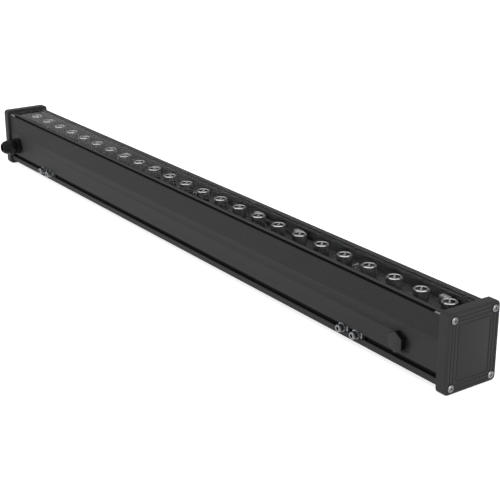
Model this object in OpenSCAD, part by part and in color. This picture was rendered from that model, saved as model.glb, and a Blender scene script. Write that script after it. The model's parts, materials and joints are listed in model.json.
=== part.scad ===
// Outdoor wall washer light: a long body with a row of lights under glass along its top.
// X runs along the body, -Y is the front with the cable gland, +Z is where the light goes.
// The origin is at the middle of the body's underside.

/* [Row of lights] */
// Distance between two neighbouring lights
led_pitch = 40; // [34:1:60]
// Lights on each of the three boards
leds_per_board = 8; // [6:1:12]
// Room for the wires between the left cap and the first board
left_room = 15; // [12:1:40]
// Room between the last board and the right cap
right_room = 1; // [1:1:30]

/* [Body] */
// Width of the body
body_width = 60; // [59:1:66]
// Height of the body
body_height = 77; // [76:1:96]
// Thickness of the body's walls
wall = 2.4; // [2:0.1:3]
// Depth of the glass below the rim
glass_drop = 0.3; // [0.3:0.1:3]
// Width of the rim on each side of the glass
rim_width = 7.5; // [7:0.1:9]
// Width of the ledge that carries the glass
ledge_width = 3; // [2:0.1:4]
// Depth of the floor that carries the boards, below the rim
floor_drop = 21; // [20:0.5:26]
// Thickness of the floor that carries the boards
floor_thickness = 2; // [1.6:0.1:3]

/* [Ribs on the sides] */
// Number of grooves on each side
rib_count = 13; // [4:1:15]
// Distance between two neighbouring grooves
rib_pitch = 2.05; // [1.6:0.05:2.4]
// Depth of a groove
rib_depth = 0.5; // [0.2:0.05:0.8]
// Height of a groove's mouth
rib_mouth = 1.1; // [0.6:0.05:1.4]
// Distance from the rim down to the first groove
rib_drop = 3.5; // [3.2:0.1:6]

/* [Slots and screw ports] */
// Height of the slots' centre above the body's bottom
slot_rise = 11.1; // [10.5:0.1:16]
// Mouth of a slot
slot_mouth = 6; // [5.8:0.1:6.6]
// Thickness of a slot's lips
slot_lip = 2; // [1.6:0.1:2.6]
// Height of a slot's inner hollow
slot_hollow = 9.8; // [9.6:0.1:11]
// Depth of a slot's inner hollow
slot_depth = 4.4; // [4.2:0.1:5.4]
// Thickness of the wall round a slot
slot_wall = 1.8; // [1.4:0.1:2.4]
// Distance of a screw port's axis from the body's sides
port_inset = 3.25; // [3.2:0.05:3.6]
// Bore of a screw port
port_bore = 4.1; // [4:0.05:4.4]
// Width across a screw port's round wall
port_round = 6.6; // [6.2:0.1:7.4]
// Width of a screw port's opening at the corner
port_mouth = 3.1; // [2:0.1:3.6]

/* [End caps] */
// Thickness of a cap
cap_thickness = 13; // [10:0.5:16]
// Overhang of a cap beyond the body, all round
cap_overhang = 4; // [3:0.25:6]
// Rounding of a cap's outer edge
cap_edge = 2.4; // [1:0.1:3]
// Rounding of a cap's corners
cap_round = 5; // [4:0.25:7]
// Thickness of the gasket under a cap
gasket_thickness = 1; // [0.6:0.1:2]
// Distance of the gasket's edge from the cap's edge
gasket_inset = 0.8; // [0.5:0.1:2]
// Width of the grooves on a cap's face
face_groove = 0.9; // [0.6:0.1:1.6]
// Depth of the grooves on a cap's face
face_groove_depth = 0.5; // [0.3:0.1:1]
// Distance of the outer groove from the cap's edge
first_groove = 4.5; // [3.5:0.1:5]
// Distance from one groove to the next
next_groove = 4.1; // [3:0.1:5]

/* [Cap screws] */
// Width of a screw's shank
cap_screw_shank = 3.8; // [3.6:0.05:3.9]
// Length of a screw under its head
cap_screw_length = 25; // [16:1:30]
// Width of a screw's head
cap_screw_head = 8; // [7.4:0.1:8.4]
// Height of a screw's head
cap_screw_rise = 2.6; // [2.2:0.1:3]
// Width of the counterbore round a head
cap_counterbore = 9.6; // [9:0.1:10.4]
// Depth of the counterbore
cap_counterbore_depth = 1.1; // [0.6:0.1:2]

/* [Glass, boards and lenses] */
// Thickness of the cover glass
glass_thickness = 3; // [3:0.5:5]
// Thickness of the seal under the glass
seal_thickness = 1.4; // [0.8:0.1:2.4]
// Thickness of the ledge that carries the glass
ledge_thickness = 1.6; // [1.5:0.1:2.5]
// Width of a board
board_width = 46; // [42:1:50]
// Thickness of the boards
board_thickness = 1.6; // [1.2:0.1:2]
// Width of a lens holder
holder_width = 17; // [15:0.5:19]
// Wall of a lens holder at its top
holder_wall = 0.6; // [0.4:0.1:1]
// Width of an emitter
emitter_width = 3.5; // [3:0.1:4]

/* [Cable gland] */
// Distance of the gland from the body's left end
gland_from_end = 27; // [24:1:40]
// Height of the gland above the body's bottom
gland_rise = 31; // [30:1:40]
// Width of the gland's thread
gland_thread = 16; // [15:0.5:18]
// Hexagon of the gland's body and nut, across the flats
gland_hexagon = 22; // [21:0.5:24]
// Bore of the gland's mouth
gland_mouth = 10; // [8:0.5:11]
// Height of the gland's domed nut
gland_nut_height = 21.2; // [19:0.2:26]

/* [Vent plug] */
// Distance of the vent plug from the body's right end
vent_from_end = 55; // [30:1:90]
// Height of the vent plug above the body's bottom
vent_rise = 29.5; // [28:0.5:36]
// Width of the vent plug's thread
vent_thread = 12; // [10:0.5:14]
// Cap of the vent plug, across the flats
vent_cap_width = 20; // [18:0.5:22]
// Height of the vent plug's cap
vent_cap_height = 6.2; // [3:0.2:7]

/* [Slot screws] */
// Distance of the left pair's middle from the body's left end
left_pair_from_end = 125.2; // [90:0.1:160]
// Distance of the right pair's middle from the body's right end
right_pair_from_end = 133.2; // [90:0.1:160]
// Distance between the two screws of a pair
pair_spacing = 22.9; // [20:0.1:40]
// Width of a slot screw's head
slot_screw_head = 8.5; // [8:0.1:9]
// Height of a slot screw's head
slot_screw_rise = 5; // [4:0.1:6]
// Width of a slot screw's shank
slot_screw_shank = 4.8; // [4.6:0.05:4.9]
// Length of a slot nut
slot_nut_length = 15; // [12:0.5:16]

/* [Driver] */
// Distance of the tray from the body's left end
tray_from_end = 46; // [44:1:80]
// Length of the tray
tray_length = 340; // [320:5:400]
// Height of the tray's posts
tray_post = 5; // [3:0.5:8]
// Gap between the driver's board and the slots' walls beside it
driver_side_gap = 1.8; // [1.6:0.1:4]
// Thickness of a wire
wire_width = 1.8; // [1.2:0.1:2]

/* [Node] */
// Sub-part to build, or all

/* [Hidden] */

round_faces = 48;
hex_faces = 6;
small_gap = 0.3;
seat_gap = 0.2;
over = 1;

// the body along X and its section
board_length = led_pitch * leds_per_board;
row_length = 3 * board_length;
body_length = row_length + left_room + right_room;
body_end = body_length / 2;
row_start = left_room - body_end;
cap_start = body_end + gasket_thickness;
cap_face = cap_start + cap_thickness;
half_width = body_width / 2;
body_low = 0;
body_high = body_low + body_height;
inner_half = half_width - wall;
glass_half = half_width - rim_width;
ledge_half = glass_half - ledge_width;
rim_wall = 2.2;
glass_top = body_high - glass_drop;
glass_low = glass_top - glass_thickness;
seal_low = glass_low - seal_thickness;
ledge_low = seal_low - ledge_thickness;
floor_top = body_high - floor_drop;
floor_low = floor_top - floor_thickness;
flange = wall;
chamber_low = body_low + wall;

// slots and ports
slot_z = body_low + slot_rise;
slot_half = half_width - slot_lip - slot_depth;
pocket_half = slot_half - slot_wall;
pocket_height = slot_hollow + 2 * slot_wall;
rail_reach = 2.5;
rail_thickness = 1.4;
tray_thickness = 1.7;
tray_top = chamber_low + tray_thickness;
rail_low = tray_top + small_gap;
port_y = half_width - port_inset;
port_low = body_low + port_inset;
port_high = body_high - port_inset;

// end caps
cap_half = half_width + cap_overhang;
cap_low = body_low - cap_overhang;
cap_height = body_height + 2 * cap_overhang;
cap_hole = 4.5;
gasket_hole = 5;
inner_groove_round = 1.5;

// boards and lenses
board_top = floor_top + board_thickness;
board_gap = 0.4;
board_screw_y = 18;
board_screw_lights = [2, leds_per_board - 2];
board_screw_shank = 2.9;
board_screw_hole = 3.2;
board_screw_head = 5.5;
board_screw_rise = 1.7;
emitter_base = 0.7;
emitter_dome = 1.3;
lens_flange = 1.3;
lens_flange_top = glass_low - 2 * small_gap;
lens_flange_low = lens_flange_top - lens_flange;
lens_lift = 2;
lens_low = board_top + lens_lift;
lens_foot = 3.4;
holder_foot = 3.8;
lens_half = holder_width / 2;
lens_step = 0.7;
lens_cone = lens_half - holder_wall - lens_step;
holder_cone = lens_cone + small_gap;
lens_pocket = 2.2;
lens_pocket_height = 3.5;
lens_dish = 5;
lens_dish_depth = 1.6;
small_part_length = 2;
small_part_width = 1.2;
small_part_height = 0.6;
small_part = [small_part_length, small_part_width, small_part_height];
small_part_y = 11;
small_part_pitch = 3.5;
small_part_light = 3;
connector_length = 11.2;
connector_width = 6.4;
connector_height = 9.8;
connector = [connector_length, connector_width, connector_height];
connector_y = 17.2;
connector_before_light = 23.2;
connector_light = 1;
connector_groove = 0.7;
connector_groove_depth = 1;
connector_keys = 3;

// gland, measured outwards from the body's front
gland_x = gland_from_end - body_end;
gland_z = body_low + gland_rise;
gland_hole_gap = 0.2;
gland_washer_thickness = 1;
gland_flange = 12;
gland_flange_thickness = 1.2;
gland_flange_top = gland_washer_thickness + gland_flange_thickness;
gland_hexagon_height = 4.8;
gland_hexagon_top = gland_flange_top + gland_hexagon_height;
gland_neck_height = 9;
gland_neck_top = gland_hexagon_top + gland_neck_height;
gland_neck_step = 0.5;
gland_neck = gland_thread / 2 - gland_neck_step;
gland_nut_bore = gland_neck + small_gap;
gland_neck_wall = 2;
gland_bore = gland_neck - gland_neck_wall;
gland_thread_end = 9.5;
gland_locknut_height = 4;
gland_nut_gap = 0.5;
gland_nut_low = gland_hexagon_top + gland_nut_gap;
gland_nut_top = gland_nut_low + gland_nut_height;
gland_shoulder_share = 0.54;
gland_nut_shoulder = gland_nut_low + gland_nut_height * gland_shoulder_share;
// the dome, as shares of the radius cut off and of the dome's height
gland_dome_shares = [[0.036, 0], [0.06, 0.31], [0.13, 0.56], [0.245, 0.77], [0.38, 0.93], [0.44, 1]];
gland_nut_chamfer = 1.2;
gland_corner_cut = 0.3;
gland_mouth_chamfer = 0.5;
gland_claw_low = gland_neck_top + small_gap;
gland_claw_cone = 6.4;
gland_claw_recess = 3.8;
gland_cone_top = 1.9;
gland_claw_tip = 0.3;
gland_claw_root = 2;
gland_claw_bend = gland_nut_top - gland_claw_cone;
gland_claw_top = gland_nut_top - gland_claw_recess;
gland_seal_seat = 1;
gland_seal_low = gland_hexagon_top + gland_seal_seat;
gland_seal_top = gland_claw_top + small_gap;
gland_seal_wall = 1.2;
gland_seal_half = gland_bore - small_gap;
gland_corner = gland_hexagon / sqrt(3);

// vent plug, measured outwards from the body's front
vent_x = body_end - vent_from_end;
vent_z = body_low + vent_rise;
vent_washer_thickness = 1;
vent_flange = 8.6;
vent_flange_thickness = 1.4;
vent_flange_top = vent_washer_thickness + vent_flange_thickness;
vent_bore = 3.2;
vent_membrane_half = 4.4;
vent_membrane_thickness = 0.3;
vent_thread_end = 8;
vent_locknut_height = 3.5;
vent_locknut_hexagon = 17;
vent_corner = vent_cap_width / sqrt(3);
vent_corner_cut = 0.9;
vent_chamfer = 1.1;
vent_room = 1.2;
vent_channel = 1.6;
vent_channel_depth = 0.8;

// slot screws, measured outwards from the body's front
pair_half = pair_spacing / 2;
slot_screw_x = [left_pair_from_end - body_end - pair_half, left_pair_from_end - body_end + pair_half,
    body_end - right_pair_from_end - pair_half, body_end - right_pair_from_end + pair_half];
flat_washer_half = 5;
flat_washer_thickness = 1;
spring_washer_half = 4.3;
spring_washer_thickness = 1.3;
washer_bore = 2.7;
flat_washer_top = seat_gap + flat_washer_thickness;
spring_washer_top = flat_washer_top + spring_washer_thickness;
slot_head_top = spring_washer_top + slot_screw_rise;
slot_socket = 4;
slot_socket_depth = 2.6;
slot_head_chamfer = 0.3;
spring_washer_slit = 0.8;
slot_nut_top = slot_lip + seat_gap;
slot_nut_low = slot_lip + slot_depth - 2 * seat_gap;
slot_nut_width = slot_hollow - 2 * small_gap;
slot_nut_neck = slot_mouth - 2 * small_gap;
slot_neck_top = 0.5;

// driver
tray_x = tray_from_end - body_end;
tray_side_gap = 0.4;
tray_half = pocket_half - tray_side_gap;
driver_margin = 5;
driver_length = tray_length - 2 * driver_margin;
driver_width = 2 * (pocket_half - driver_side_gap);
driver_x = tray_x + driver_margin;
driver_low = tray_top + tray_post;
driver_top = driver_low + board_thickness;
post_width = 6;
post_inset = 10;
post_edge = 4;
post_y = driver_width / 2 - post_edge;
terminal_pitch = 5;
terminal_border = 0.6;
terminal_length = 10;
terminal_height = 12;
terminal = [terminal_length, 3 * terminal_pitch + terminal_border, terminal_height];
terminal_inset = 3;
terminal_x = driver_x + terminal_inset;
terminal_top_hole = 1.75;
terminal_top_depth = 3.6;
terminal_entry_depth = 6;
wire_entry = 3;
terminal_entry = 5;
wire_half = wire_width / 2;
wire_bend = 3;
wire_y = 1.4;
wire_start = 20;
wire_start_x = driver_x + wire_start;
wire_drop = 7;
wire_run_z = floor_low - wire_drop;
wire_hole = 7;
wire_hole_x = -body_end + left_room / 2;
wire_board_z = board_top + connector[2] / 2;
earth_ring = 4;
earth_plate = 1;
earth_screw_shank = 3.8;
earth_screw_length = 7;
earth_screw_head = 7;
earth_opening = 12;

transformer_length = 28;
transformer_width = 26;
transformer_height = 24;
transformer = [transformer_length, transformer_width, transformer_height];
transformer_start = 125;
transformer_x = driver_x + transformer_start;
core_leg = 6;
input_capacitor_width = 18;
input_capacitor_height = 30;
input_capacitor_start = 80;
output_capacitor_width = 13;
output_capacitor_height = 22;
output_capacitor_start = 215;
output_capacitor_y = 9;
capacitor_groove_share = 0.86;
capacitor_groove_size_share = 0.04;
choke_ring = 9;
choke_wire = 4;
choke_foot_length = 12;
choke_foot_width = 14;
choke_foot_height = 3;
choke_foot = [choke_foot_length, choke_foot_width, choke_foot_height];
choke_start = 48;
choke_x = driver_x + choke_start;
heat_sink_length = 30;
heat_sink_width = 24;
heat_sink_height = 26;
heat_sink = [heat_sink_length, heat_sink_width, heat_sink_height];
heat_sink_start = 170;
heat_sink_base = 5;
fin_count = 6;
fin_share = 0.45;
earth_wire_gap = 2;
earth_wire_x = earth_wire_gap - body_end;
earth_wire_z = driver_top + terminal_entry;
earth_tail = 8;
earth_tail_top = earth_ring + earth_plate;
earth_z = earth_wire_z + wire_bend + small_gap + earth_tail + earth_tail_top;
claw_slits = 8;
claw_slit = 0.8;

// shares of a cross-recessed head
cross_reach_share = 0.55;
cross_width_share = 0.2;
cross_depth_share = 0.65;

function led_x(i) = row_start + (i + 0.5) * led_pitch;

function connector_x(board, light) =
    led_x(board * leds_per_board + light) - connector_before_light - connector[0] / 2;

// Helpers

module along(start, length) {
    translate([start, 0, 0])
        rotate([90, 0, 90])
            linear_extrude(height = length) children();
}

module both_sides() {
    children();
    mirror([1, 0, 0]) children();
}

module both_fronts() {
    children();
    mirror([0, 1, 0]) children();
}

// local +Z points out of the body's front, from its surface
module front_at(x, z) {
    translate([x, -half_width, z])
        rotate([90, 0, 0]) children();
}

module disc(low, high, half) {
    translate([0, 0, low]) cylinder(h = high - low, r = half, $fn = round_faces);
}

module hexagon(low, high, across) {
    translate([0, 0, low]) cylinder(h = high - low, d = across * 2 / sqrt(3), $fn = hex_faces);
}

module ring(low, high, outer, inner) {
    difference() {
        disc(low, high, outer);
        disc(low - over, high + over, inner);
    }
}

module at_ports() {
    for (y = [-port_y, port_y])
        for (z = [port_low, port_high])
            translate([y, z]) children();
}

// Body

module side_slot() {
    translate([slot_half, slot_z - slot_hollow / 2]) square([slot_depth, slot_hollow]);
    translate([slot_half, slot_z - slot_mouth / 2]) square([slot_depth + slot_lip + over, slot_mouth]);
}

module rib_groove(z) {
    polygon([
        [half_width + over, z - rib_mouth / 2],
        [half_width, z - rib_mouth / 2],
        [half_width - rib_depth, z - rib_mouth / 4],
        [half_width - rib_depth, z + rib_mouth / 4],
        [half_width, z + rib_mouth / 2],
        [half_width + over, z + rib_mouth / 2]
    ]);
}

module section_hollows() {
    translate([-inner_half, chamber_low]) square([2 * inner_half, floor_low - chamber_low]);
    translate([-inner_half, floor_top]) square([2 * inner_half, body_high - flange - floor_top]);
    translate([-glass_half, floor_top]) square([2 * glass_half, body_high + over - floor_top]);
}

module section_side_walls() {
    translate([glass_half, ledge_low]) square([rim_wall, body_high - ledge_low]);
    translate([ledge_half, ledge_low]) square([ledge_width + rim_wall, ledge_thickness]);
    translate([pocket_half, slot_z - pocket_height / 2])
        square([inner_half + over - pocket_half, pocket_height]);
    translate([pocket_half - rail_reach, rail_low]) square([rail_reach + over, rail_thickness]);
}

module section_ports() {
    for (side = [-1, 1]) {
        translate([side * port_y, port_high]) circle(d = port_bore, $fn = round_faces);
        translate([side * port_y, port_low]) circle(d = port_bore, $fn = round_faces);
        translate([side * port_y, port_high])
            rotate(90 - side * 45)
                translate([0, -port_mouth / 2]) square([2 * port_inset, port_mouth]);
        translate([side * port_y, port_low])
            rotate(-90 + side * 45)
                translate([0, -port_mouth / 2]) square([2 * port_inset, port_mouth]);
    }
}

module body_section() {
    difference() {
        union() {
            difference() {
                translate([-half_width, body_low]) square([body_width, body_height]);
                section_hollows();
            }
            both_sides() section_side_walls();
            intersection() {
                translate([-half_width, body_low]) square([body_width, body_height]);
                at_ports() circle(d = port_round, $fn = round_faces);
            }
        }
        both_sides() {
            side_slot();
            for (i = [0 : rib_count - 1]) rib_groove(body_high - rib_drop - i * rib_pitch);
        }
        section_ports();
    }
}

module board_screw_places() {
    for (board = [0 : 2])
        for (i = board_screw_lights)
            for (y = [-board_screw_y, board_screw_y])
                translate([row_start + board * board_length + i * led_pitch, y, 0]) children();
}

module housing() {
    color("#45464a")
        difference() {
            along(-body_end, body_length) body_section();
            front_at(gland_x, gland_z)
                disc(-wall - over, over, gland_thread / 2 + gland_hole_gap);
            front_at(vent_x, vent_z)
                disc(-wall - over, over, vent_thread / 2 + gland_hole_gap);
            translate([wire_hole_x, connector_y, 0])
                disc(floor_low - over, floor_top + over, wire_hole / 2);
            board_screw_places()
                disc(floor_low - over, floor_top + over, board_screw_hole / 2);
        }
}

// End caps

module cap_edge_strip(length) {
    // drawn with its rounded edge at the far corner of the square
    linear_extrude(height = length)
        difference() {
            square([cap_thickness, cap_round]);
            translate([cap_thickness - cap_edge, cap_round - cap_edge])
                difference() {
                    square([cap_edge + over, cap_edge + over]);
                    circle(r = cap_edge, $fn = round_faces);
                }
        }
}

module cap_corner() {
    rotate([90, 0, 90])
        rotate_extrude(angle = 90, $fn = round_faces)
            difference() {
                square([cap_round, cap_thickness]);
                translate([cap_round - cap_edge, cap_thickness - cap_edge])
                    difference() {
                        square([cap_edge + over, cap_edge + over]);
                        circle(r = cap_edge, $fn = round_faces);
                    }
            }
}

module cap_outline_2d(inset, corner) {
    // a rounded rectangle drawn in the plane of the cap
    half = cap_half - inset;
    low = cap_low + inset;
    high = cap_low + cap_height - inset;
    translate([-half + corner, low]) square([2 * (half - corner), high - low]);
    translate([-half, low + corner]) square([2 * half, high - low - 2 * corner]);
    for (y = [-half + corner, half - corner])
        for (z = [low + corner, high - corner])
            translate([y, z]) circle(r = corner, $fn = round_faces);
}

module cap_block() {
    // drawn with the outer face at x = cap_thickness
    straight_y = 2 * (cap_half - cap_round);
    straight_z = cap_height - 2 * cap_round;
    translate([0, 0, cap_low + cap_height / 2]) {
        translate([0, -straight_y / 2, -straight_z / 2])
            cube([cap_thickness, straight_y, straight_z]);
        both_fronts()
            translate([0, straight_y / 2, -straight_z / 2]) cap_edge_strip(straight_z);
        for (turn = [0, 1])
            mirror([0, 0, turn]) {
                translate([0, straight_y / 2, straight_z / 2])
                    rotate([90, 0, 0]) cap_edge_strip(straight_y);
                both_fronts()
                    translate([0, straight_y / 2, straight_z / 2]) cap_corner();
            }
    }
}

module groove_ring(inset, corner) {
    along(cap_thickness - face_groove_depth, face_groove_depth + over)
        difference() {
            cap_outline_2d(inset, corner + face_groove);
            cap_outline_2d(inset + face_groove, corner);
        }
}

module cap_body() {
    difference() {
        cap_block();
        groove_ring(first_groove, inner_groove_round);
        groove_ring(first_groove + next_groove, inner_groove_round);
        groove_ring(first_groove + 2 * next_groove, inner_groove_round);
        for (y = [-port_y, port_y])
            for (z = [port_low, port_high])
                translate([0, y, z])
                    rotate([0, 90, 0]) {
                        disc(-over, cap_thickness + over, cap_hole / 2);
                        disc(cap_thickness - cap_counterbore_depth, cap_thickness + over,
                            cap_counterbore / 2);
                    }
    }
}

module end_cap_right() {
    color("#4a4b4d") translate([cap_start, 0, 0]) cap_body();
}

module end_cap_left() {
    color("#4a4b4d")
        difference() {
            translate([-cap_start, 0, 0]) mirror([1, 0, 0]) cap_body();
            translate([-cap_start, terminal_pitch, earth_z])
                rotate([0, 90, 0])
                    disc(-earth_screw_length, over, earth_screw_shank / 2 + small_gap / 2);
        }
}

module gasket_body() {
    difference() {
        along(0, gasket_thickness) cap_outline_2d(gasket_inset, cap_round - gasket_inset);
        for (y = [-port_y, port_y])
            for (z = [port_low, port_high])
                translate([0, y, z])
                    rotate([0, 90, 0]) disc(-over, gasket_thickness + over, gasket_hole / 2);
    }
}

module end_gasket_right() {
    color("#161616") translate([body_end, 0, 0]) gasket_body();
}

module end_gasket_left() {
    color("#161616")
        difference() {
            translate([-body_end, 0, 0]) mirror([1, 0, 0]) gasket_body();
            translate([-body_end, terminal_pitch, earth_z])
                rotate([0, 90, 0])
                    disc(-gasket_thickness - over, over, earth_opening / 2);
        }
}

module cross_recess(depth, reach, width) {
    translate([-reach / 2, -width / 2, -depth]) cube([reach, width, depth + over]);
    translate([-width / 2, -reach / 2, -depth]) cube([width, reach, depth + over]);
}

module pan_head_screw(head, rise, shank, length) {
    // local z = 0 is under the head
    dome = head;
    difference() {
        union() {
            intersection() {
                disc(0, rise, head / 2);
                translate([0, 0, rise - dome]) sphere(r = dome, $fn = round_faces);
            }
            disc(-length, 0, shank / 2);
        }
        translate([0, 0, rise])
            cross_recess(rise * cross_depth_share, head * cross_reach_share,
                head * cross_reach_share * cross_width_share);
    }
}

module cap_screws() {
    for (y = [-port_y, port_y])
        for (z = [port_low, port_high])
            translate([cap_face - cap_counterbore_depth, y, z])
                rotate([0, 90, 0])
                    pan_head_screw(cap_screw_head, cap_screw_rise, cap_screw_shank,
                        cap_screw_length);
}

module cap_screws_right() {
    color("#b9bcbf") cap_screws();
}

module cap_screws_left() {
    color("#b9bcbf") mirror([1, 0, 0]) cap_screws();
}

// Glass, boards and lenses

module cover_glass() {
    color("#c8d6d8", 0.3)
        translate([-body_end + small_gap, -glass_half + small_gap, glass_low])
            cube([body_length - 2 * small_gap, 2 * (glass_half - small_gap), glass_thickness]);
}

module glass_seal() {
    color("#101010")
        difference() {
            translate([-body_end + small_gap, -glass_half + small_gap, seal_low])
                cube([body_length - 2 * small_gap, 2 * (glass_half - small_gap), seal_thickness]);
            translate([-body_end + ledge_width, -ledge_half, seal_low - over])
                cube([body_length - 2 * ledge_width, 2 * ledge_half, seal_thickness + 2 * over]);
        }
}

module led_board(number) {
    start = row_start + number * board_length;
    color("#2b2c2e")
        difference() {
            translate([start + board_gap / 2, -board_width / 2, floor_top])
                cube([board_length - board_gap, board_width, board_thickness]);
            for (i = board_screw_lights)
                for (y = [-board_screw_y, board_screw_y])
                    translate([start + i * led_pitch, y, 0])
                        disc(floor_top - over, board_top + over, board_screw_hole / 2);
        }
}

module led_board_left() { led_board(0); }

module led_board_middle() { led_board(1); }

module led_board_right() { led_board(2); }

module board_screws() {
    color("#a9adb0")
        board_screw_places()
            translate([0, 0, board_top])
                pan_head_screw(board_screw_head, board_screw_rise, board_screw_shank,
                    board_thickness + floor_thickness);
}

module at_lights() {
    for (i = [0 : 3 * leds_per_board - 1])
        translate([led_x(i), 0, 0]) children();
}

module led_emitters() {
    color("#e8e2c0")
        at_lights() {
            translate([-emitter_width / 2, -emitter_width / 2, board_top])
                cube([emitter_width, emitter_width, emitter_base]);
            intersection() {
                disc(board_top + emitter_base / 2, lens_low, emitter_width / 2);
                translate([0, 0, board_top + emitter_base / 2]) sphere(r = emitter_dome, $fn = round_faces);
            }
        }
}

module lens_holders() {
    color("#141414")
        at_lights()
            rotate_extrude($fn = round_faces)
                polygon([
                    [holder_foot, board_top],
                    [holder_width / 2 - holder_wall, board_top],
                    [holder_width / 2, board_top + holder_wall],
                    [holder_width / 2, lens_flange_low],
                    [holder_cone, lens_flange_low],
                    [holder_foot, lens_low]
                ]);
}

module lenses() {
    color("#dfe6e8", 0.5)
        at_lights()
            rotate_extrude($fn = round_faces)
                polygon([
                    [0, lens_low + lens_pocket_height],
                    [lens_pocket, lens_low + lens_pocket_height],
                    [lens_pocket, lens_low],
                    [lens_foot, lens_low],
                    [lens_cone, lens_flange_low],
                    [lens_half, lens_flange_low],
                    [lens_half, lens_flange_top],
                    [lens_dish, lens_flange_top],
                    [lens_pocket, lens_flange_top - lens_dish_depth],
                    [0, lens_flange_top - lens_dish_depth]
                ]);
}

module board_parts() {
    color("#e9e9e4")
        for (board = [0 : 2])
            for (i = [0 : 2])
                translate([led_x(board * leds_per_board + small_part_light) - small_part[0] / 2,
                    small_part_y + i * small_part_pitch, board_top])
                    cube(small_part);
}

module connector_block() {
    // two wire mouths in each end, and grooves that part the top into release keys
    difference() {
        translate([0, -connector[1] / 2, 0]) cube(connector);
        for (y = [-wire_y, wire_y])
            translate([0, y, connector[2] / 2])
                rotate([0, 90, 0]) {
                    disc(-over, wire_entry, wire_half + seat_gap);
                    disc(connector[0] - wire_entry, connector[0] + over, wire_half + seat_gap);
                }
        for (i = [1 : connector_keys - 1])
            translate([i * connector[0] / connector_keys - connector_groove / 2, -connector[1] / 2 - over,
                connector[2] - connector_groove_depth])
                cube([connector_groove, connector[1] + 2 * over, connector_groove_depth + over]);
    }
}

module board_connectors() {
    // one before the second and one before the last light of each board
    color("#f0efe9")
        for (board = [0 : 2])
            for (light = [connector_light, leds_per_board - 1])
                translate([connector_x(board, light), connector_y, board_top]) connector_block();
}

// Driver

module at_posts() {
    for (x = [post_inset, driver_length - post_inset])
        for (y = [-post_y, post_y])
            translate([driver_x + x, y, 0]) children();
}

module driver_tray() {
    color("#8c9093") {
        difference() {
            union() {
                translate([tray_x, -tray_half, chamber_low])
                    cube([tray_length, 2 * tray_half, tray_thickness]);
                at_posts() disc(tray_top - tray_thickness / 2, driver_low, post_width / 2);
            }
            at_posts() disc(tray_top, driver_low + over, board_screw_shank / 2 + small_gap / 3);
        }
    }
}

module driver_board() {
    color("#1f5b3a")
        difference() {
            translate([driver_x, -driver_width / 2, driver_low])
                cube([driver_length, driver_width, board_thickness]);
            at_posts() disc(driver_low - over, driver_top + over, board_screw_hole / 2);
        }
}

module driver_screws() {
    color("#b0b3b5")
        at_posts()
            translate([0, 0, driver_top])
                pan_head_screw(board_screw_head, board_screw_rise, board_screw_shank,
                    board_thickness + tray_post);
}

module transformer_core() {
    color("#3a3a3d")
        translate([transformer_x, -transformer[1] / 2, driver_top])
            difference() {
                cube(transformer);
                for (y = [core_leg, transformer[1] / 2 + core_leg / 2])
                    translate([-over, y, core_leg])
                        cube([transformer[0] + 2 * over, transformer[1] / 2 - core_leg * 1.5,
                            transformer[2] - 2 * core_leg]);
            }
}

module transformer_winding() {
    // the coil round the core's middle leg
    window = transformer[1] / 2 - core_leg * 1.5;
    color("#c08a3a")
        translate([transformer_x, 0, driver_top])
            difference() {
                translate([-core_leg, -core_leg / 2 - window + small_gap, core_leg + small_gap])
                    cube([transformer[0] + 2 * core_leg, core_leg + 2 * window - 2 * small_gap,
                        transformer[2] - 2 * core_leg - 2 * small_gap]);
                translate([-small_gap, -core_leg / 2 - small_gap, -over])
                    cube([transformer[0] + 2 * small_gap, core_leg + 2 * small_gap,
                        transformer[2] + 2 * over]);
            }
}

module capacitor(x, y, width, height) {
    translate([driver_x + x, y, driver_top])
        difference() {
            cylinder(h = height, d = width, $fn = round_faces);
            translate([0, 0, height * capacitor_groove_share])
                rotate_extrude($fn = round_faces)
                    translate([width / 2, 0])
                        circle(r = width * capacitor_groove_size_share, $fn = round_faces);
        }
}

module driver_capacitors() {
    color("#20242c") {
        capacitor(input_capacitor_start, 0, input_capacitor_width, input_capacitor_height);
        for (y = [-output_capacitor_y, output_capacitor_y])
            capacitor(output_capacitor_start, y, output_capacitor_width, output_capacitor_height);
    }
}

module driver_choke() {
    color("#b5762c")
        translate([choke_x, 0, driver_top]) {
            translate([0, 0, choke_ring + choke_wire + seat_gap])
                rotate([0, 90, 0])
                    rotate_extrude($fn = round_faces)
                        translate([choke_ring, 0]) circle(r = choke_wire, $fn = round_faces);
            translate([-choke_foot[0] / 2, -choke_foot[1] / 2, 0]) cube(choke_foot);
        }
}

module driver_heat_sink() {
    pitch = heat_sink[1] / fin_count;
    color("#9b9ea1")
        translate([driver_x + heat_sink_start, -heat_sink[1] / 2, driver_top])
            difference() {
                cube(heat_sink);
                for (i = [0 : fin_count - 2])
                    translate([-over, pitch * (i + 1 - fin_share / 2), heat_sink_base])
                        cube([heat_sink[0] + 2 * over, pitch * fin_share, heat_sink[2]]);
            }
}

module terminal_block() {
    color("#3f8f55")
        translate([terminal_x, -terminal[1] / 2, driver_top])
            difference() {
                cube(terminal);
                for (i = [-1, 0, 1])
                    translate([0, terminal[1] / 2 + i * terminal_pitch, 0]) {
                        translate([-over, 0, terminal_entry])
                            rotate([0, 90, 0])
                                disc(0, terminal_entry_depth + over, wire_half + small_gap);
                        translate([terminal[0] / 2, 0, 0])
                            disc(terminal_height - terminal_top_depth, terminal_height + over,
                                terminal_top_hole);
                    }
            }
}

module wire_x(start, end, z) {
    translate([start, 0, z]) rotate([0, 90, 0]) disc(0, end - start, wire_half);
}

module wire_z(x, low, high) {
    translate([x, 0, 0]) disc(low, high, wire_half);
}

module wire_elbow(x, z, turn) {
    translate([x, 0, z])
        rotate([0, -turn, 0])
            rotate([90, 0, 0])
                rotate_extrude(angle = 90, $fn = round_faces)
                    translate([wire_bend, 0]) circle(r = wire_half, $fn = round_faces);
}

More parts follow.
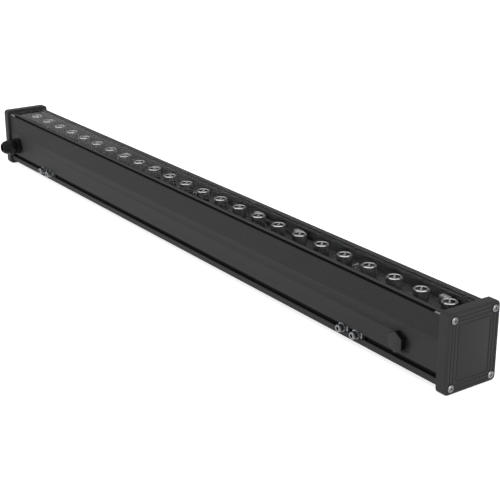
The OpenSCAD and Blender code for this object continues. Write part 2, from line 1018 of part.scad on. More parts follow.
module board_wire() {
    wire_z(wire_start_x, driver_top, wire_run_z - wire_bend);
    wire_elbow(wire_start_x - wire_bend, wire_run_z - wire_bend, 0);
    wire_x(wire_hole_x + wire_bend, wire_start_x - wire_bend, wire_run_z);
    wire_elbow(wire_hole_x + wire_bend, wire_run_z + wire_bend, 180);
    wire_z(wire_hole_x, wire_run_z + wire_bend, wire_board_z - wire_bend);
    wire_elbow(wire_hole_x + wire_bend, wire_board_z - wire_bend, 90);
    wire_x(wire_hole_x + wire_bend, connector_x(0, connector_light) + wire_entry - small_gap,
        wire_board_z);
}

module live_wire() {
    color("#b3261e") translate([0, connector_y + wire_y, 0]) board_wire();
}

module return_wire() {
    color("#1b1b1b") translate([0, connector_y - wire_y, 0]) board_wire();
}

module joining_wires() {
    // from the last connector of one board to the first of the next
    entry = wire_entry - small_gap;
    color("#1b1b1b")
        for (board = [0 : 1])
            for (y = [-wire_y, wire_y])
                translate([0, connector_y + y, 0])
                    wire_x(connector_x(board, leds_per_board - 1) + connector[0] - entry,
                        connector_x(board + 1, connector_light) + entry, wire_board_z);
}

module earth_wire() {
    color("#7fae2e")
        translate([0, terminal_pitch, 0]) {
            wire_z(earth_wire_x, earth_wire_z + wire_bend, earth_z - earth_tail_top - small_gap);
            wire_elbow(earth_wire_x + wire_bend, earth_wire_z + wire_bend, 180);
            wire_x(earth_wire_x + wire_bend, terminal_x + wire_entry, earth_wire_z);
        }
}

module earth_lug() {
    step = earth_wire_x + cap_start;
    color("#b8bcc0")
        translate([-cap_start, terminal_pitch, earth_z])
            difference() {
                union() {
                    rotate([0, 90, 0]) disc(0, earth_plate, earth_ring);
                    translate([0, -earth_ring / 2, -earth_tail_top])
                        cube([step, earth_ring, earth_tail_top - earth_ring + small_gap]);
                    translate([step, 0, 0])
                        disc(-earth_tail_top - earth_tail, -earth_tail_top + earth_plate,
                            wire_half + earth_plate);
                }
                rotate([0, 90, 0])
                    disc(-over, earth_plate + over, earth_screw_shank / 2 + small_gap);
                translate([step, 0, 0])
                    disc(-earth_tail_top - earth_tail - over, -earth_tail_top,
                        wire_half + small_gap / 3);
            }
}

module earth_screw() {
    color("#c9b873")
        translate([-cap_start + earth_plate, terminal_pitch, earth_z])
            rotate([0, 90, 0])
                pan_head_screw(earth_screw_head, cap_screw_rise, earth_screw_shank,
                    earth_screw_length);
}

// Cable gland

module gland_body() {
    color("#1a1a1b")
        front_at(gland_x, gland_z)
            difference() {
                union() {
                    disc(-gland_thread_end, gland_washer_thickness, gland_thread / 2);
                    disc(gland_washer_thickness, gland_flange_top, gland_flange);
                    hexagon(gland_flange_top, gland_hexagon_top, gland_hexagon);
                    disc(gland_hexagon_top, gland_neck_top, gland_neck);
                }
                disc(-gland_thread_end - over, gland_neck_top + over, gland_bore);
            }
}

module gland_washer() {
    color("#0f0f0f")
        front_at(gland_x, gland_z)
            ring(0, gland_washer_thickness, gland_hexagon / 2, gland_thread / 2 + small_gap);
}

module gland_locknut() {
    color("#1a1a1b")
        front_at(gland_x, gland_z)
            difference() {
                hexagon(-wall - gland_locknut_height, -wall, gland_hexagon);
                disc(-wall - gland_locknut_height - over, over, gland_thread / 2 + small_gap / 2);
            }
}

module gland_seal() {
    color("#2a2a2b")
        front_at(gland_x, gland_z)
            difference() {
                disc(gland_seal_low, gland_seal_top, gland_seal_half);
                disc(gland_seal_low - over, gland_seal_top + over, gland_seal_half - gland_seal_wall);
            }
}

module gland_claw() {
    color("#262627")
        front_at(gland_x, gland_z)
            difference() {
                rotate_extrude($fn = round_faces)
                    polygon([
                        [gland_bore, gland_claw_low],
                        [gland_neck - small_gap, gland_claw_low],
                        [gland_neck - small_gap, gland_claw_bend],
                        [gland_bore + gland_claw_tip, gland_claw_top],
                        [gland_bore, gland_claw_top]
                    ]);
                for (i = [0 : claw_slits / 2 - 1])
                    rotate([0, 0, i * 360 / claw_slits])
                        translate([-gland_neck - over, -claw_slit / 2, gland_claw_low + gland_claw_root])
                            cube([2 * (gland_neck + over), claw_slit, gland_nut_height]);
            }
}

module gland_dome_nut() {
    color("#1c1c1d")
        front_at(gland_x, gland_z)
            difference() {
                union() {
                    intersection() {
                        hexagon(gland_nut_low, gland_nut_shoulder, gland_hexagon);
                        rotate_extrude($fn = round_faces)
                            polygon([
                                [0, gland_nut_low],
                                [gland_hexagon / 2, gland_nut_low],
                                [gland_corner - gland_corner_cut, gland_nut_low + gland_nut_chamfer],
                                [gland_corner - gland_corner_cut, gland_nut_shoulder - gland_nut_chamfer],
                                [gland_hexagon / 2 * (1 - gland_dome_shares[0][0]), gland_nut_shoulder],
                                [0, gland_nut_shoulder]
                            ]);
                    }
                    rotate_extrude($fn = round_faces)
                        polygon(concat(
                            [[0, gland_nut_top], [0, gland_nut_shoulder]],
                            [for (d = gland_dome_shares) [
                                gland_hexagon / 2 * (1 - d[0]),
                                gland_nut_shoulder + d[1] * (gland_nut_top - gland_nut_shoulder)
                            ]]
                        ));
                }
                disc(gland_nut_low - over, gland_claw_bend, gland_nut_bore);
                rotate_extrude($fn = round_faces)
                    polygon([
                        [0, gland_claw_bend - over],
                        [gland_nut_bore, gland_claw_bend - over],
                        [gland_nut_bore, gland_claw_bend],
                        [gland_mouth / 2, gland_claw_top + gland_cone_top],
                        [gland_mouth / 2, gland_nut_top - gland_mouth_chamfer],
                        [gland_mouth / 2 + gland_mouth_chamfer, gland_nut_top],
                        [gland_mouth / 2 + gland_mouth_chamfer, gland_nut_top + over],
                        [0, gland_nut_top + over]
                    ]);
            }
}

// Vent plug

module vent_body() {
    color("#1a1a1b")
        front_at(vent_x, vent_z)
            difference() {
                union() {
                    disc(-vent_thread_end, vent_washer_thickness, vent_thread / 2);
                    disc(vent_washer_thickness, vent_flange_top, vent_flange);
                }
                disc(-vent_thread_end - over, vent_flange_top + over, vent_bore);
                disc(vent_flange_top - vent_membrane_thickness, vent_flange_top + over,
                    vent_membrane_half + small_gap);
            }
}

module vent_cap() {
    top = vent_flange_top + vent_cap_height;
    color("#1c1c1d")
        front_at(vent_x, vent_z)
            difference() {
                intersection() {
                    hexagon(vent_flange_top, top, vent_cap_width);
                    rotate_extrude($fn = round_faces)
                        polygon([
                            [0, vent_flange_top],
                            [vent_corner - vent_corner_cut, vent_flange_top],
                            [vent_corner - vent_corner_cut, top - vent_chamfer],
                            [vent_corner - vent_corner_cut - vent_chamfer, top],
                            [0, top]
                        ]);
                }
                disc(vent_flange_top - over, vent_flange_top + vent_room, vent_membrane_half + small_gap);
                for (i = [0 : 2])
                    rotate([0, 0, i * 60])
                        translate([-vent_cap_width, -vent_channel / 2, vent_flange_top - over])
                            cube([2 * vent_cap_width, vent_channel, over + vent_channel_depth]);
            }
}

module vent_membrane() {
    color("#e6e6e2")
        front_at(vent_x, vent_z)
            disc(vent_flange_top - vent_membrane_thickness, vent_flange_top, vent_membrane_half);
}

module vent_washer() {
    color("#0f0f0f")
        front_at(vent_x, vent_z)
            ring(0, vent_washer_thickness, vent_flange, vent_thread / 2 + small_gap);
}

module vent_locknut() {
    color("#1a1a1b")
        front_at(vent_x, vent_z)
            difference() {
                hexagon(-wall - vent_locknut_height, -wall, vent_locknut_hexagon);
                disc(-wall - vent_locknut_height - over, over, vent_thread / 2 + small_gap / 2);
            }
}

// Slot screws

module slot_screw(number) {
    color("#c3c5c7")
        front_at(slot_screw_x[number], slot_z)
            difference() {
                union() {
                    disc(spring_washer_top, slot_head_top - slot_head_chamfer, slot_screw_head / 2);
                    translate([0, 0, slot_head_top - slot_head_chamfer])
                        cylinder(h = slot_head_chamfer, r1 = slot_screw_head / 2,
                            r2 = slot_screw_head / 2 - slot_head_chamfer, $fn = round_faces);
                    disc(-slot_nut_low, spring_washer_top, slot_screw_shank / 2);
                }
                hexagon(slot_head_top - slot_socket_depth, slot_head_top + over, slot_socket);
            }
}

module spring_washer(number) {
    color("#b4b6b8")
        front_at(slot_screw_x[number], slot_z)
            difference() {
                ring(flat_washer_top, spring_washer_top, spring_washer_half, washer_bore);
                translate([0, -spring_washer_slit / 2, 0])
                    cube([2 * spring_washer_half, spring_washer_slit, 2 * spring_washer_top]);
            }
}

module flat_washer(number) {
    color("#bfc1c3")
        front_at(slot_screw_x[number], slot_z)
            ring(seat_gap, flat_washer_top, flat_washer_half, washer_bore);
}

module slot_nut(number) {
    color("#a8abad")
        front_at(slot_screw_x[number], slot_z)
            difference() {
                union() {
                    translate([-slot_nut_length / 2, -slot_nut_width / 2, -slot_nut_low])
                        cube([slot_nut_length, slot_nut_width, slot_nut_low - slot_nut_top]);
                    translate([-slot_nut_length / 2, -slot_nut_neck / 2, -slot_nut_low])
                        cube([slot_nut_length, slot_nut_neck, slot_nut_low - slot_neck_top]);
                }
                disc(-slot_nut_low - over, over, slot_screw_shank / 2 + small_gap / 3);
            }
}

module slot_screw_1() { slot_screw(0); }

module spring_washer_1() { spring_washer(0); }

module flat_washer_1() { flat_washer(0); }

module slot_nut_1() { slot_nut(0); }

module slot_screw_2() { slot_screw(1); }

module spring_washer_2() { spring_washer(1); }

module flat_washer_2() { flat_washer(1); }

module slot_nut_2() { slot_nut(1); }

module slot_screw_3() { slot_screw(2); }

module spring_washer_3() { spring_washer(2); }

module flat_washer_3() { flat_washer(2); }

module slot_nut_3() { slot_nut(2); }

module slot_screw_4() { slot_screw(3); }

module spring_washer_4() { spring_washer(3); }

module flat_washer_4() { flat_washer(3); }

module slot_nut_4() { slot_nut(3); }

housing();
end_cap_left();
end_cap_right();
end_gasket_left();
end_gasket_right();
cap_screws_left();
cap_screws_right();
cover_glass();
glass_seal();
led_board_left();
led_board_middle();
led_board_right();
board_screws();
led_emitters();
lens_holders();
lenses();
board_parts();
board_connectors();
driver_tray();
driver_board();
driver_screws();
transformer_core();
transformer_winding();
driver_capacitors();
driver_choke();
driver_heat_sink();
terminal_block();
live_wire();
return_wire();
joining_wires();
earth_wire();
earth_lug();
earth_screw();
gland_body();
gland_washer();
gland_locknut();
gland_seal();
gland_claw();
gland_dome_nut();
vent_body();
vent_cap();
vent_membrane();
vent_washer();
vent_locknut();
slot_screw_1();
spring_washer_1();
flat_washer_1();
slot_nut_1();
slot_screw_2();
spring_washer_2();
flat_washer_2();
slot_nut_2();
slot_screw_3();
spring_washer_3();
flat_washer_3();
slot_nut_3();
slot_screw_4();
spring_washer_4();
flat_washer_4();
slot_nut_4();
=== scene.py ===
import json
import math
import bpy
import bmesh
from mathutils import Matrix, Vector


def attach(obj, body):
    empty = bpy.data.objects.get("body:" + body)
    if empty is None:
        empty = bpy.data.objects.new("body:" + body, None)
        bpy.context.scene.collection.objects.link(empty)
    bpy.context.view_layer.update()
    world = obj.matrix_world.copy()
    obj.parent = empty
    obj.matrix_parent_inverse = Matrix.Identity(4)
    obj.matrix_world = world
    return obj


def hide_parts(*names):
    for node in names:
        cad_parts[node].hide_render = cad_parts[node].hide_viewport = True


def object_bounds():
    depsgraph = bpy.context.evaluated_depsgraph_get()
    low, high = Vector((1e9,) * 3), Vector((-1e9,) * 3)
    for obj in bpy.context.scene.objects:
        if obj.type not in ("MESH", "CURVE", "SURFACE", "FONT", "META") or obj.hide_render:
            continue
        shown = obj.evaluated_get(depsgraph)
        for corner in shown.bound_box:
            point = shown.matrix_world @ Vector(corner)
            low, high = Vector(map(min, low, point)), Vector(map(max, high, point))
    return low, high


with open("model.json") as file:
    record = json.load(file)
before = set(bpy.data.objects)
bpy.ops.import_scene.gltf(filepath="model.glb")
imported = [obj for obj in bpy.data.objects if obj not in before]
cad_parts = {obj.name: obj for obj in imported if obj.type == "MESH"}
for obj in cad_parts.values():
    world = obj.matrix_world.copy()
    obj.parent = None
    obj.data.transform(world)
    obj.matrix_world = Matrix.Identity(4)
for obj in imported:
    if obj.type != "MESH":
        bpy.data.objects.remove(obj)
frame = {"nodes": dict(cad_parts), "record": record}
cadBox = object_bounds()
scene = bpy.context.scene
mm = 0.001
print("frame loaded,", len(frame["nodes"]), "nodes")

# camera, floor and light

cameraSet = {
    "place": (1.2215, -0.7613, 0.5158),
    "azimuth": 55.11,
    "elevation": 20.17,
    "roll": -0.09,
    "lens": 85,
    "sensor": 36,
}


def placeCamera(look):
    az, el = math.radians(look["azimuth"]), math.radians(look["elevation"])
    right = Vector((math.cos(az), math.sin(az), 0))
    back = Vector((math.sin(az) * math.cos(el), -math.cos(az) * math.cos(el), math.sin(el)))
    up = back.cross(right)
    facing = Matrix((right, up, back)).transposed().to_4x4()
    data = bpy.data.cameras.new("camera")
    data.lens = look["lens"]
    data.sensor_width = look["sensor"]
    camera = bpy.data.objects.new("camera", data)
    scene.collection.objects.link(camera)
    camera.matrix_world = (
        Matrix.Translation(look["place"]) @ facing @ Matrix.Rotation(math.radians(look["roll"]), 4, "Z")
    )
    scene.camera = camera


placeCamera(cameraSet)
scene.view_settings.view_transform = "Standard"

lampSet = {
    "above": {"place": (0.3, -0.4, 2.2), "size": 2.2, "watts": 8},
    "front": {"place": (-0.8, -2.5, 0.7), "size": 1.4, "watts": 34},
    "side": {"place": (2.6, 0.2, 0.7), "size": 1.2, "watts": 24},
}
lampAim = Vector((0, 0, 0.04))


def addLamp(name, look):
    data = bpy.data.lights.new(name, "AREA")
    data.shape = "DISK"
    data.size = look["size"]
    data.energy = look["watts"]
    lamp = bpy.data.objects.new(name, data)
    scene.collection.objects.link(lamp)
    lamp.location = look["place"]
    lamp.rotation_euler = (lampAim - lamp.location).to_track_quat("-Z", "Y").to_euler()


for lampName, lampLook in lampSet.items():
    addLamp(lampName, lampLook)


# small helpers for shader nodes

def addNode(tree, kind, **sockets):
    node = tree.nodes.new(kind)
    for label, value in sockets.items():
        node.inputs[label].default_value = value
    return node


def addRange(tree, source, low, high, lowOut=0.0, highOut=1.0):
    node = tree.nodes.new("ShaderNodeMapRange")
    tree.links.new(source, node.inputs["Value"])
    node.inputs["From Min"].default_value = low
    node.inputs["From Max"].default_value = high
    node.inputs["To Min"].default_value = lowOut
    node.inputs["To Max"].default_value = highOut
    return node.outputs["Result"]


def addMath(tree, operation, first, second):
    node = tree.nodes.new("ShaderNodeMath")
    node.operation = operation
    for place, value in enumerate((first, second)):
        if isinstance(value, (int, float)):
            node.inputs[place].default_value = value
        else:
            tree.links.new(value, node.inputs[place])
    return node.outputs[0]


def addMix(tree, share, first, second):
    node = tree.nodes.new("ShaderNodeMix")
    node.data_type = "RGBA"
    # sockets 0, 6 and 7 are the share and the two colours
    for place, value in ((0, share), (6, first), (7, second)):
        if isinstance(value, (int, float, tuple)):
            node.inputs[place].default_value = value
        else:
            tree.links.new(value, node.inputs[place])
    return node.outputs[2]


def addShaderMix(tree, share, first, second):
    # a share of 0 gives the first shader, 1 the second
    node = tree.nodes.new("ShaderNodeMixShader")
    for place, source in enumerate((share, first, second)):
        tree.links.new(source, node.inputs[place])
    return node.outputs[0]


def seenRays(tree):
    # 1 for what the camera, a mirror or glass sees, 0 for the light that falls on things
    path = tree.nodes.new("ShaderNodeLightPath")
    seen = addMath(tree, "MAXIMUM", path.outputs["Is Camera Ray"], path.outputs["Is Glossy Ray"])
    return addMath(tree, "MAXIMUM", seen, path.outputs["Is Transmission Ray"])


def newMaterial(name):
    material = bpy.data.materials.new(name)
    material.use_nodes = True
    tree = material.node_tree
    tree.nodes.clear()
    return material, tree, tree.nodes.new("ShaderNodeOutputMaterial")


worldSet = {"colour": (1, 1, 1, 1), "ambient": 0.5, "seen": 1}


def buildWorld(look):
    # soft light from all round, and a white background
    world = bpy.data.worlds.new("studio")
    world.use_nodes = True
    scene.world = world
    tree = world.node_tree
    tree.nodes.clear()
    soft = addNode(tree, "ShaderNodeBackground", Color=look["colour"], Strength=look["ambient"])
    seen = addNode(tree, "ShaderNodeBackground", Color=look["colour"], Strength=look["seen"])
    out = tree.nodes.new("ShaderNodeOutputWorld")
    mixed = addShaderMix(tree, seenRays(tree), soft.outputs[0], seen.outputs[0])
    tree.links.new(mixed, out.inputs["Surface"])


buildWorld(worldSet)
print("camera, lamps and world placed")

# effects that several finishes share


def newGroup(name, inputs, outputs):
    group = bpy.data.node_groups.new(name, "ShaderNodeTree")
    for label, kind, value in inputs:
        socket = group.interface.new_socket(name=label, in_out="INPUT", socket_type="NodeSocket" + kind)
        if value is not None:
            socket.default_value = value
    for label, kind in outputs:
        group.interface.new_socket(name=label, in_out="OUTPUT", socket_type="NodeSocket" + kind)
    return group, group.nodes.new("NodeGroupInput"), group.nodes.new("NodeGroupOutput")


def buildGrain():
    # fine grain and a coarser peel for the bump, specks and slow mottling for the colour
    group, into, out = newGroup(
        "fineGrain",
        [("Place", "Vector", None), ("Grain Scale", "Float", 2500.0), ("Mottle Scale", "Float", 30.0)],
        [("Height", "Float"), ("Grain", "Float"), ("Mottle", "Float")],
    )
    link = group.links.new
    fine = addNode(group, "ShaderNodeTexNoise", Detail=2.0, Roughness=0.6)
    link(into.outputs["Place"], fine.inputs["Vector"])
    link(into.outputs["Grain Scale"], fine.inputs["Scale"])
    peel = addNode(group, "ShaderNodeTexNoise", Detail=1.0)
    link(into.outputs["Place"], peel.inputs["Vector"])
    link(addMath(group, "MULTIPLY", into.outputs["Grain Scale"], 0.22), peel.inputs["Scale"])
    slow = addNode(group, "ShaderNodeTexNoise", Detail=3.0, Roughness=0.55)
    link(into.outputs["Place"], slow.inputs["Vector"])
    link(into.outputs["Mottle Scale"], slow.inputs["Scale"])
    peelHeight = addMath(group, "MULTIPLY", peel.outputs["Fac"], 0.5)
    link(addMath(group, "ADD", peelHeight, fine.outputs["Fac"]), out.inputs["Height"])
    link(addRange(group, fine.outputs["Fac"], 0.3, 0.7), out.inputs["Grain"])
    link(addRange(group, slow.outputs["Fac"], 0.3, 0.7), out.inputs["Mottle"])
    return group


def buildEdges():
    # rounded normals, and a mask of lighter patches along the edges of a hard shape, partly wear and partly a
    # painted edge highlight
    group, into, out = newGroup(
        "edgeWearAndSheen",
        [("Place", "Vector", None), ("Radius", "Float", 0.0004), ("Patches", "Float", 260.0)],
        [("Normal", "Vector"), ("Worn", "Float")],
    )
    link = group.links.new
    rounding = group.nodes.new("ShaderNodeBevel")
    rounding.samples = 4
    link(into.outputs["Radius"], rounding.inputs["Radius"])
    shape = group.nodes.new("ShaderNodeNewGeometry")
    dot = group.nodes.new("ShaderNodeVectorMath")
    dot.operation = "DOT_PRODUCT"
    link(rounding.outputs["Normal"], dot.inputs[0])
    link(shape.outputs["Normal"], dot.inputs[1])
    edge = addRange(group, dot.outputs["Value"], 0.995, 0.75)
    patches = addNode(group, "ShaderNodeTexNoise", Detail=3.0)
    link(into.outputs["Place"], patches.inputs["Vector"])
    link(into.outputs["Patches"], patches.inputs["Scale"])
    wearAndSheen = addMath(group, "MULTIPLY", edge, addRange(group, patches.outputs["Fac"], 0.45, 0.62))
    link(rounding.outputs["Normal"], out.inputs["Normal"])
    link(wearAndSheen, out.inputs["Worn"])
    return group


def buildDust():
    # a thin film of dust on what faces up
    group, into, out = newGroup(
        "settledDust",
        [("Place", "Vector", None), ("Scale", "Float", 90.0)],
        [("Dust", "Float")],
    )
    link = group.links.new
    shape = group.nodes.new("ShaderNodeNewGeometry")
    split = group.nodes.new("ShaderNodeSeparateXYZ")
    link(shape.outputs["Normal"], split.inputs[0])
    cloud = addNode(group, "ShaderNodeTexNoise", Detail=5.0, Roughness=0.7)
    link(into.outputs["Place"], cloud.inputs["Vector"])
    link(into.outputs["Scale"], cloud.inputs["Scale"])
    up = addRange(group, split.outputs["Z"], 0.5, 1.0)
    link(addMath(group, "MULTIPLY", up, addRange(group, cloud.outputs["Fac"], 0.4, 0.75)), out.inputs["Dust"])
    return group


def buildStreaks():
    # turned or drawn marks, long on the axes where Stretch is small
    group, into, out = newGroup(
        "toolMarks",
        [("Place", "Vector", None), ("Stretch", "Vector", (1.0, 1.0, 1.0)), ("Scale", "Float", 900.0)],
        [("Marks", "Float")],
    )
    link = group.links.new
    scaled = group.nodes.new("ShaderNodeVectorMath")
    scaled.operation = "MULTIPLY"
    link(into.outputs["Place"], scaled.inputs[0])
    link(into.outputs["Stretch"], scaled.inputs[1])
    lines = addNode(group, "ShaderNodeTexNoise", Detail=4.0, Roughness=0.65)
    link(scaled.outputs[0], lines.inputs["Vector"])
    link(into.outputs["Scale"], lines.inputs["Scale"])
    link(addRange(group, lines.outputs["Fac"], 0.3, 0.7), out.inputs["Marks"])
    return group


grainGroup = buildGrain()
edgeGroup = buildEdges()
dustGroup = buildDust()
streakGroup = buildStreaks()


def placeGroup(tree, group, place, **values):
    node = tree.nodes.new("ShaderNodeGroup")
    node.node_tree = group
    tree.links.new(place, node.inputs["Place"])
    for label, value in values.items():
        node.inputs[label.replace("_", " ")].default_value = value
    return node


def srgb(code):
    # linear colour of a six figure hex code
    parts = [int(code[i:i + 2], 16) / 255 for i in (0, 2, 4)]
    return tuple(c / 12.92 if c <= 0.04045 else ((c + 0.055) / 1.055) ** 2.4 for c in parts) + (1.0,)


dustColour = srgb("8d8b86")


def makeFinish(name, look):
    # one opaque finish: two tones, grain, tool marks, edges lighter from wear and a painted edge highlight, and
    # dust, as its look says
    material, tree, out = newMaterial(name)
    link = tree.links.new
    shader = tree.nodes.new("ShaderNodeBsdfPrincipled")
    link(shader.outputs[0], out.inputs["Surface"])
    place = tree.nodes.new("ShaderNodeTexCoord").outputs["Object"]
    grain = placeGroup(tree, grainGroup, place, Grain_Scale=look["grain"],
                       Mottle_Scale=look.get("mottle", 40.0))
    colour = addMix(tree, grain.outputs["Mottle"], look["colour"], look["second"])
    if "speck" in look:
        share = addMath(tree, "MULTIPLY", grain.outputs["Grain"], look["speckShare"])
        colour = addMix(tree, share, colour, look["speck"])
    height = grain.outputs["Height"]
    rough = addRange(tree, grain.outputs["Mottle"], 0.0, 1.0, *look["rough"])
    if "marks" in look:
        marks = placeGroup(tree, streakGroup, place, Stretch=look["marks"])
        rough = addMath(tree, "MULTIPLY", rough, addRange(tree, marks.outputs["Marks"], 0.0, 1.0, 0.8, 1.2))
        height = addMath(tree, "ADD", height, marks.outputs["Marks"])
        colour = addMix(tree, addMath(tree, "MULTIPLY", marks.outputs["Marks"], 0.35), colour, look["second"])
    bump = addNode(tree, "ShaderNodeBump", Strength=look["bump"], Distance=look["depth"])
    link(height, bump.inputs["Height"])
    if "edge" in look:
        edge = placeGroup(tree, edgeGroup, place, Radius=look["radius"])
        link(edge.outputs["Normal"], bump.inputs["Normal"])
        # lighter edges: part wear, part painted highlight
        wearAndSheen = addMath(tree, "MULTIPLY", edge.outputs["Worn"], look["wear"])
        colour = addMix(tree, wearAndSheen, colour, look["edge"])
    if "dust" in look:
        dust = placeGroup(tree, dustGroup, place)
        share = addMath(tree, "MULTIPLY", dust.outputs["Dust"], look["dust"])
        colour = addMix(tree, share, colour, dustColour)
        rough = addMath(tree, "ADD", rough, addMath(tree, "MULTIPLY", share, 0.3))
    link(colour, shader.inputs["Base Color"])
    link(rough, shader.inputs["Roughness"])
    link(bump.outputs["Normal"], shader.inputs["Normal"])
    shader.inputs["Metallic"].default_value = look.get("metal", 0.0)
    shader.inputs["Coat Weight"].default_value = look.get("coat", 0.0)
    shader.inputs["Coat Roughness"].default_value = 0.1
    shader.inputs["Specular IOR Level"].default_value = look.get("specular", 0.5)
    return material


def makeClear(name, look):
    # clear glass with a faint film on it: it lets shadow rays through, and mirrors mostly at a grazing angle
    material, tree, out = newMaterial(name)
    link = tree.links.new
    shader = addNode(tree, "ShaderNodeBsdfPrincipled", Roughness=0, IOR=look["ior"])
    shader.inputs["Transmission Weight"].default_value = 1
    place = tree.nodes.new("ShaderNodeTexCoord").outputs["Object"]
    film = placeGroup(tree, grainGroup, place, Mottle_Scale=look["film"])
    link(addMix(tree, film.outputs["Mottle"], look["colour"], look["second"]), shader.inputs["Base Color"])
    bent = addNode(tree, "ShaderNodeBsdfRefraction", Roughness=0, IOR=look["ior"], Color=look["colour"])
    grazing = addNode(tree, "ShaderNodeFresnel", IOR=look["ior"])
    mirror = addRange(tree, grazing.outputs[0], *look["mirror"])
    coated = addShaderMix(tree, mirror, bent.outputs[0], shader.outputs[0])
    clear = addNode(tree, "ShaderNodeBsdfTransparent", Color=look["pass"])
    path = tree.nodes.new("ShaderNodeLightPath")
    glass = addShaderMix(tree, path.outputs["Is Shadow Ray"], coated, clear.outputs[0])
    link(glass, out.inputs["Surface"])
    return material


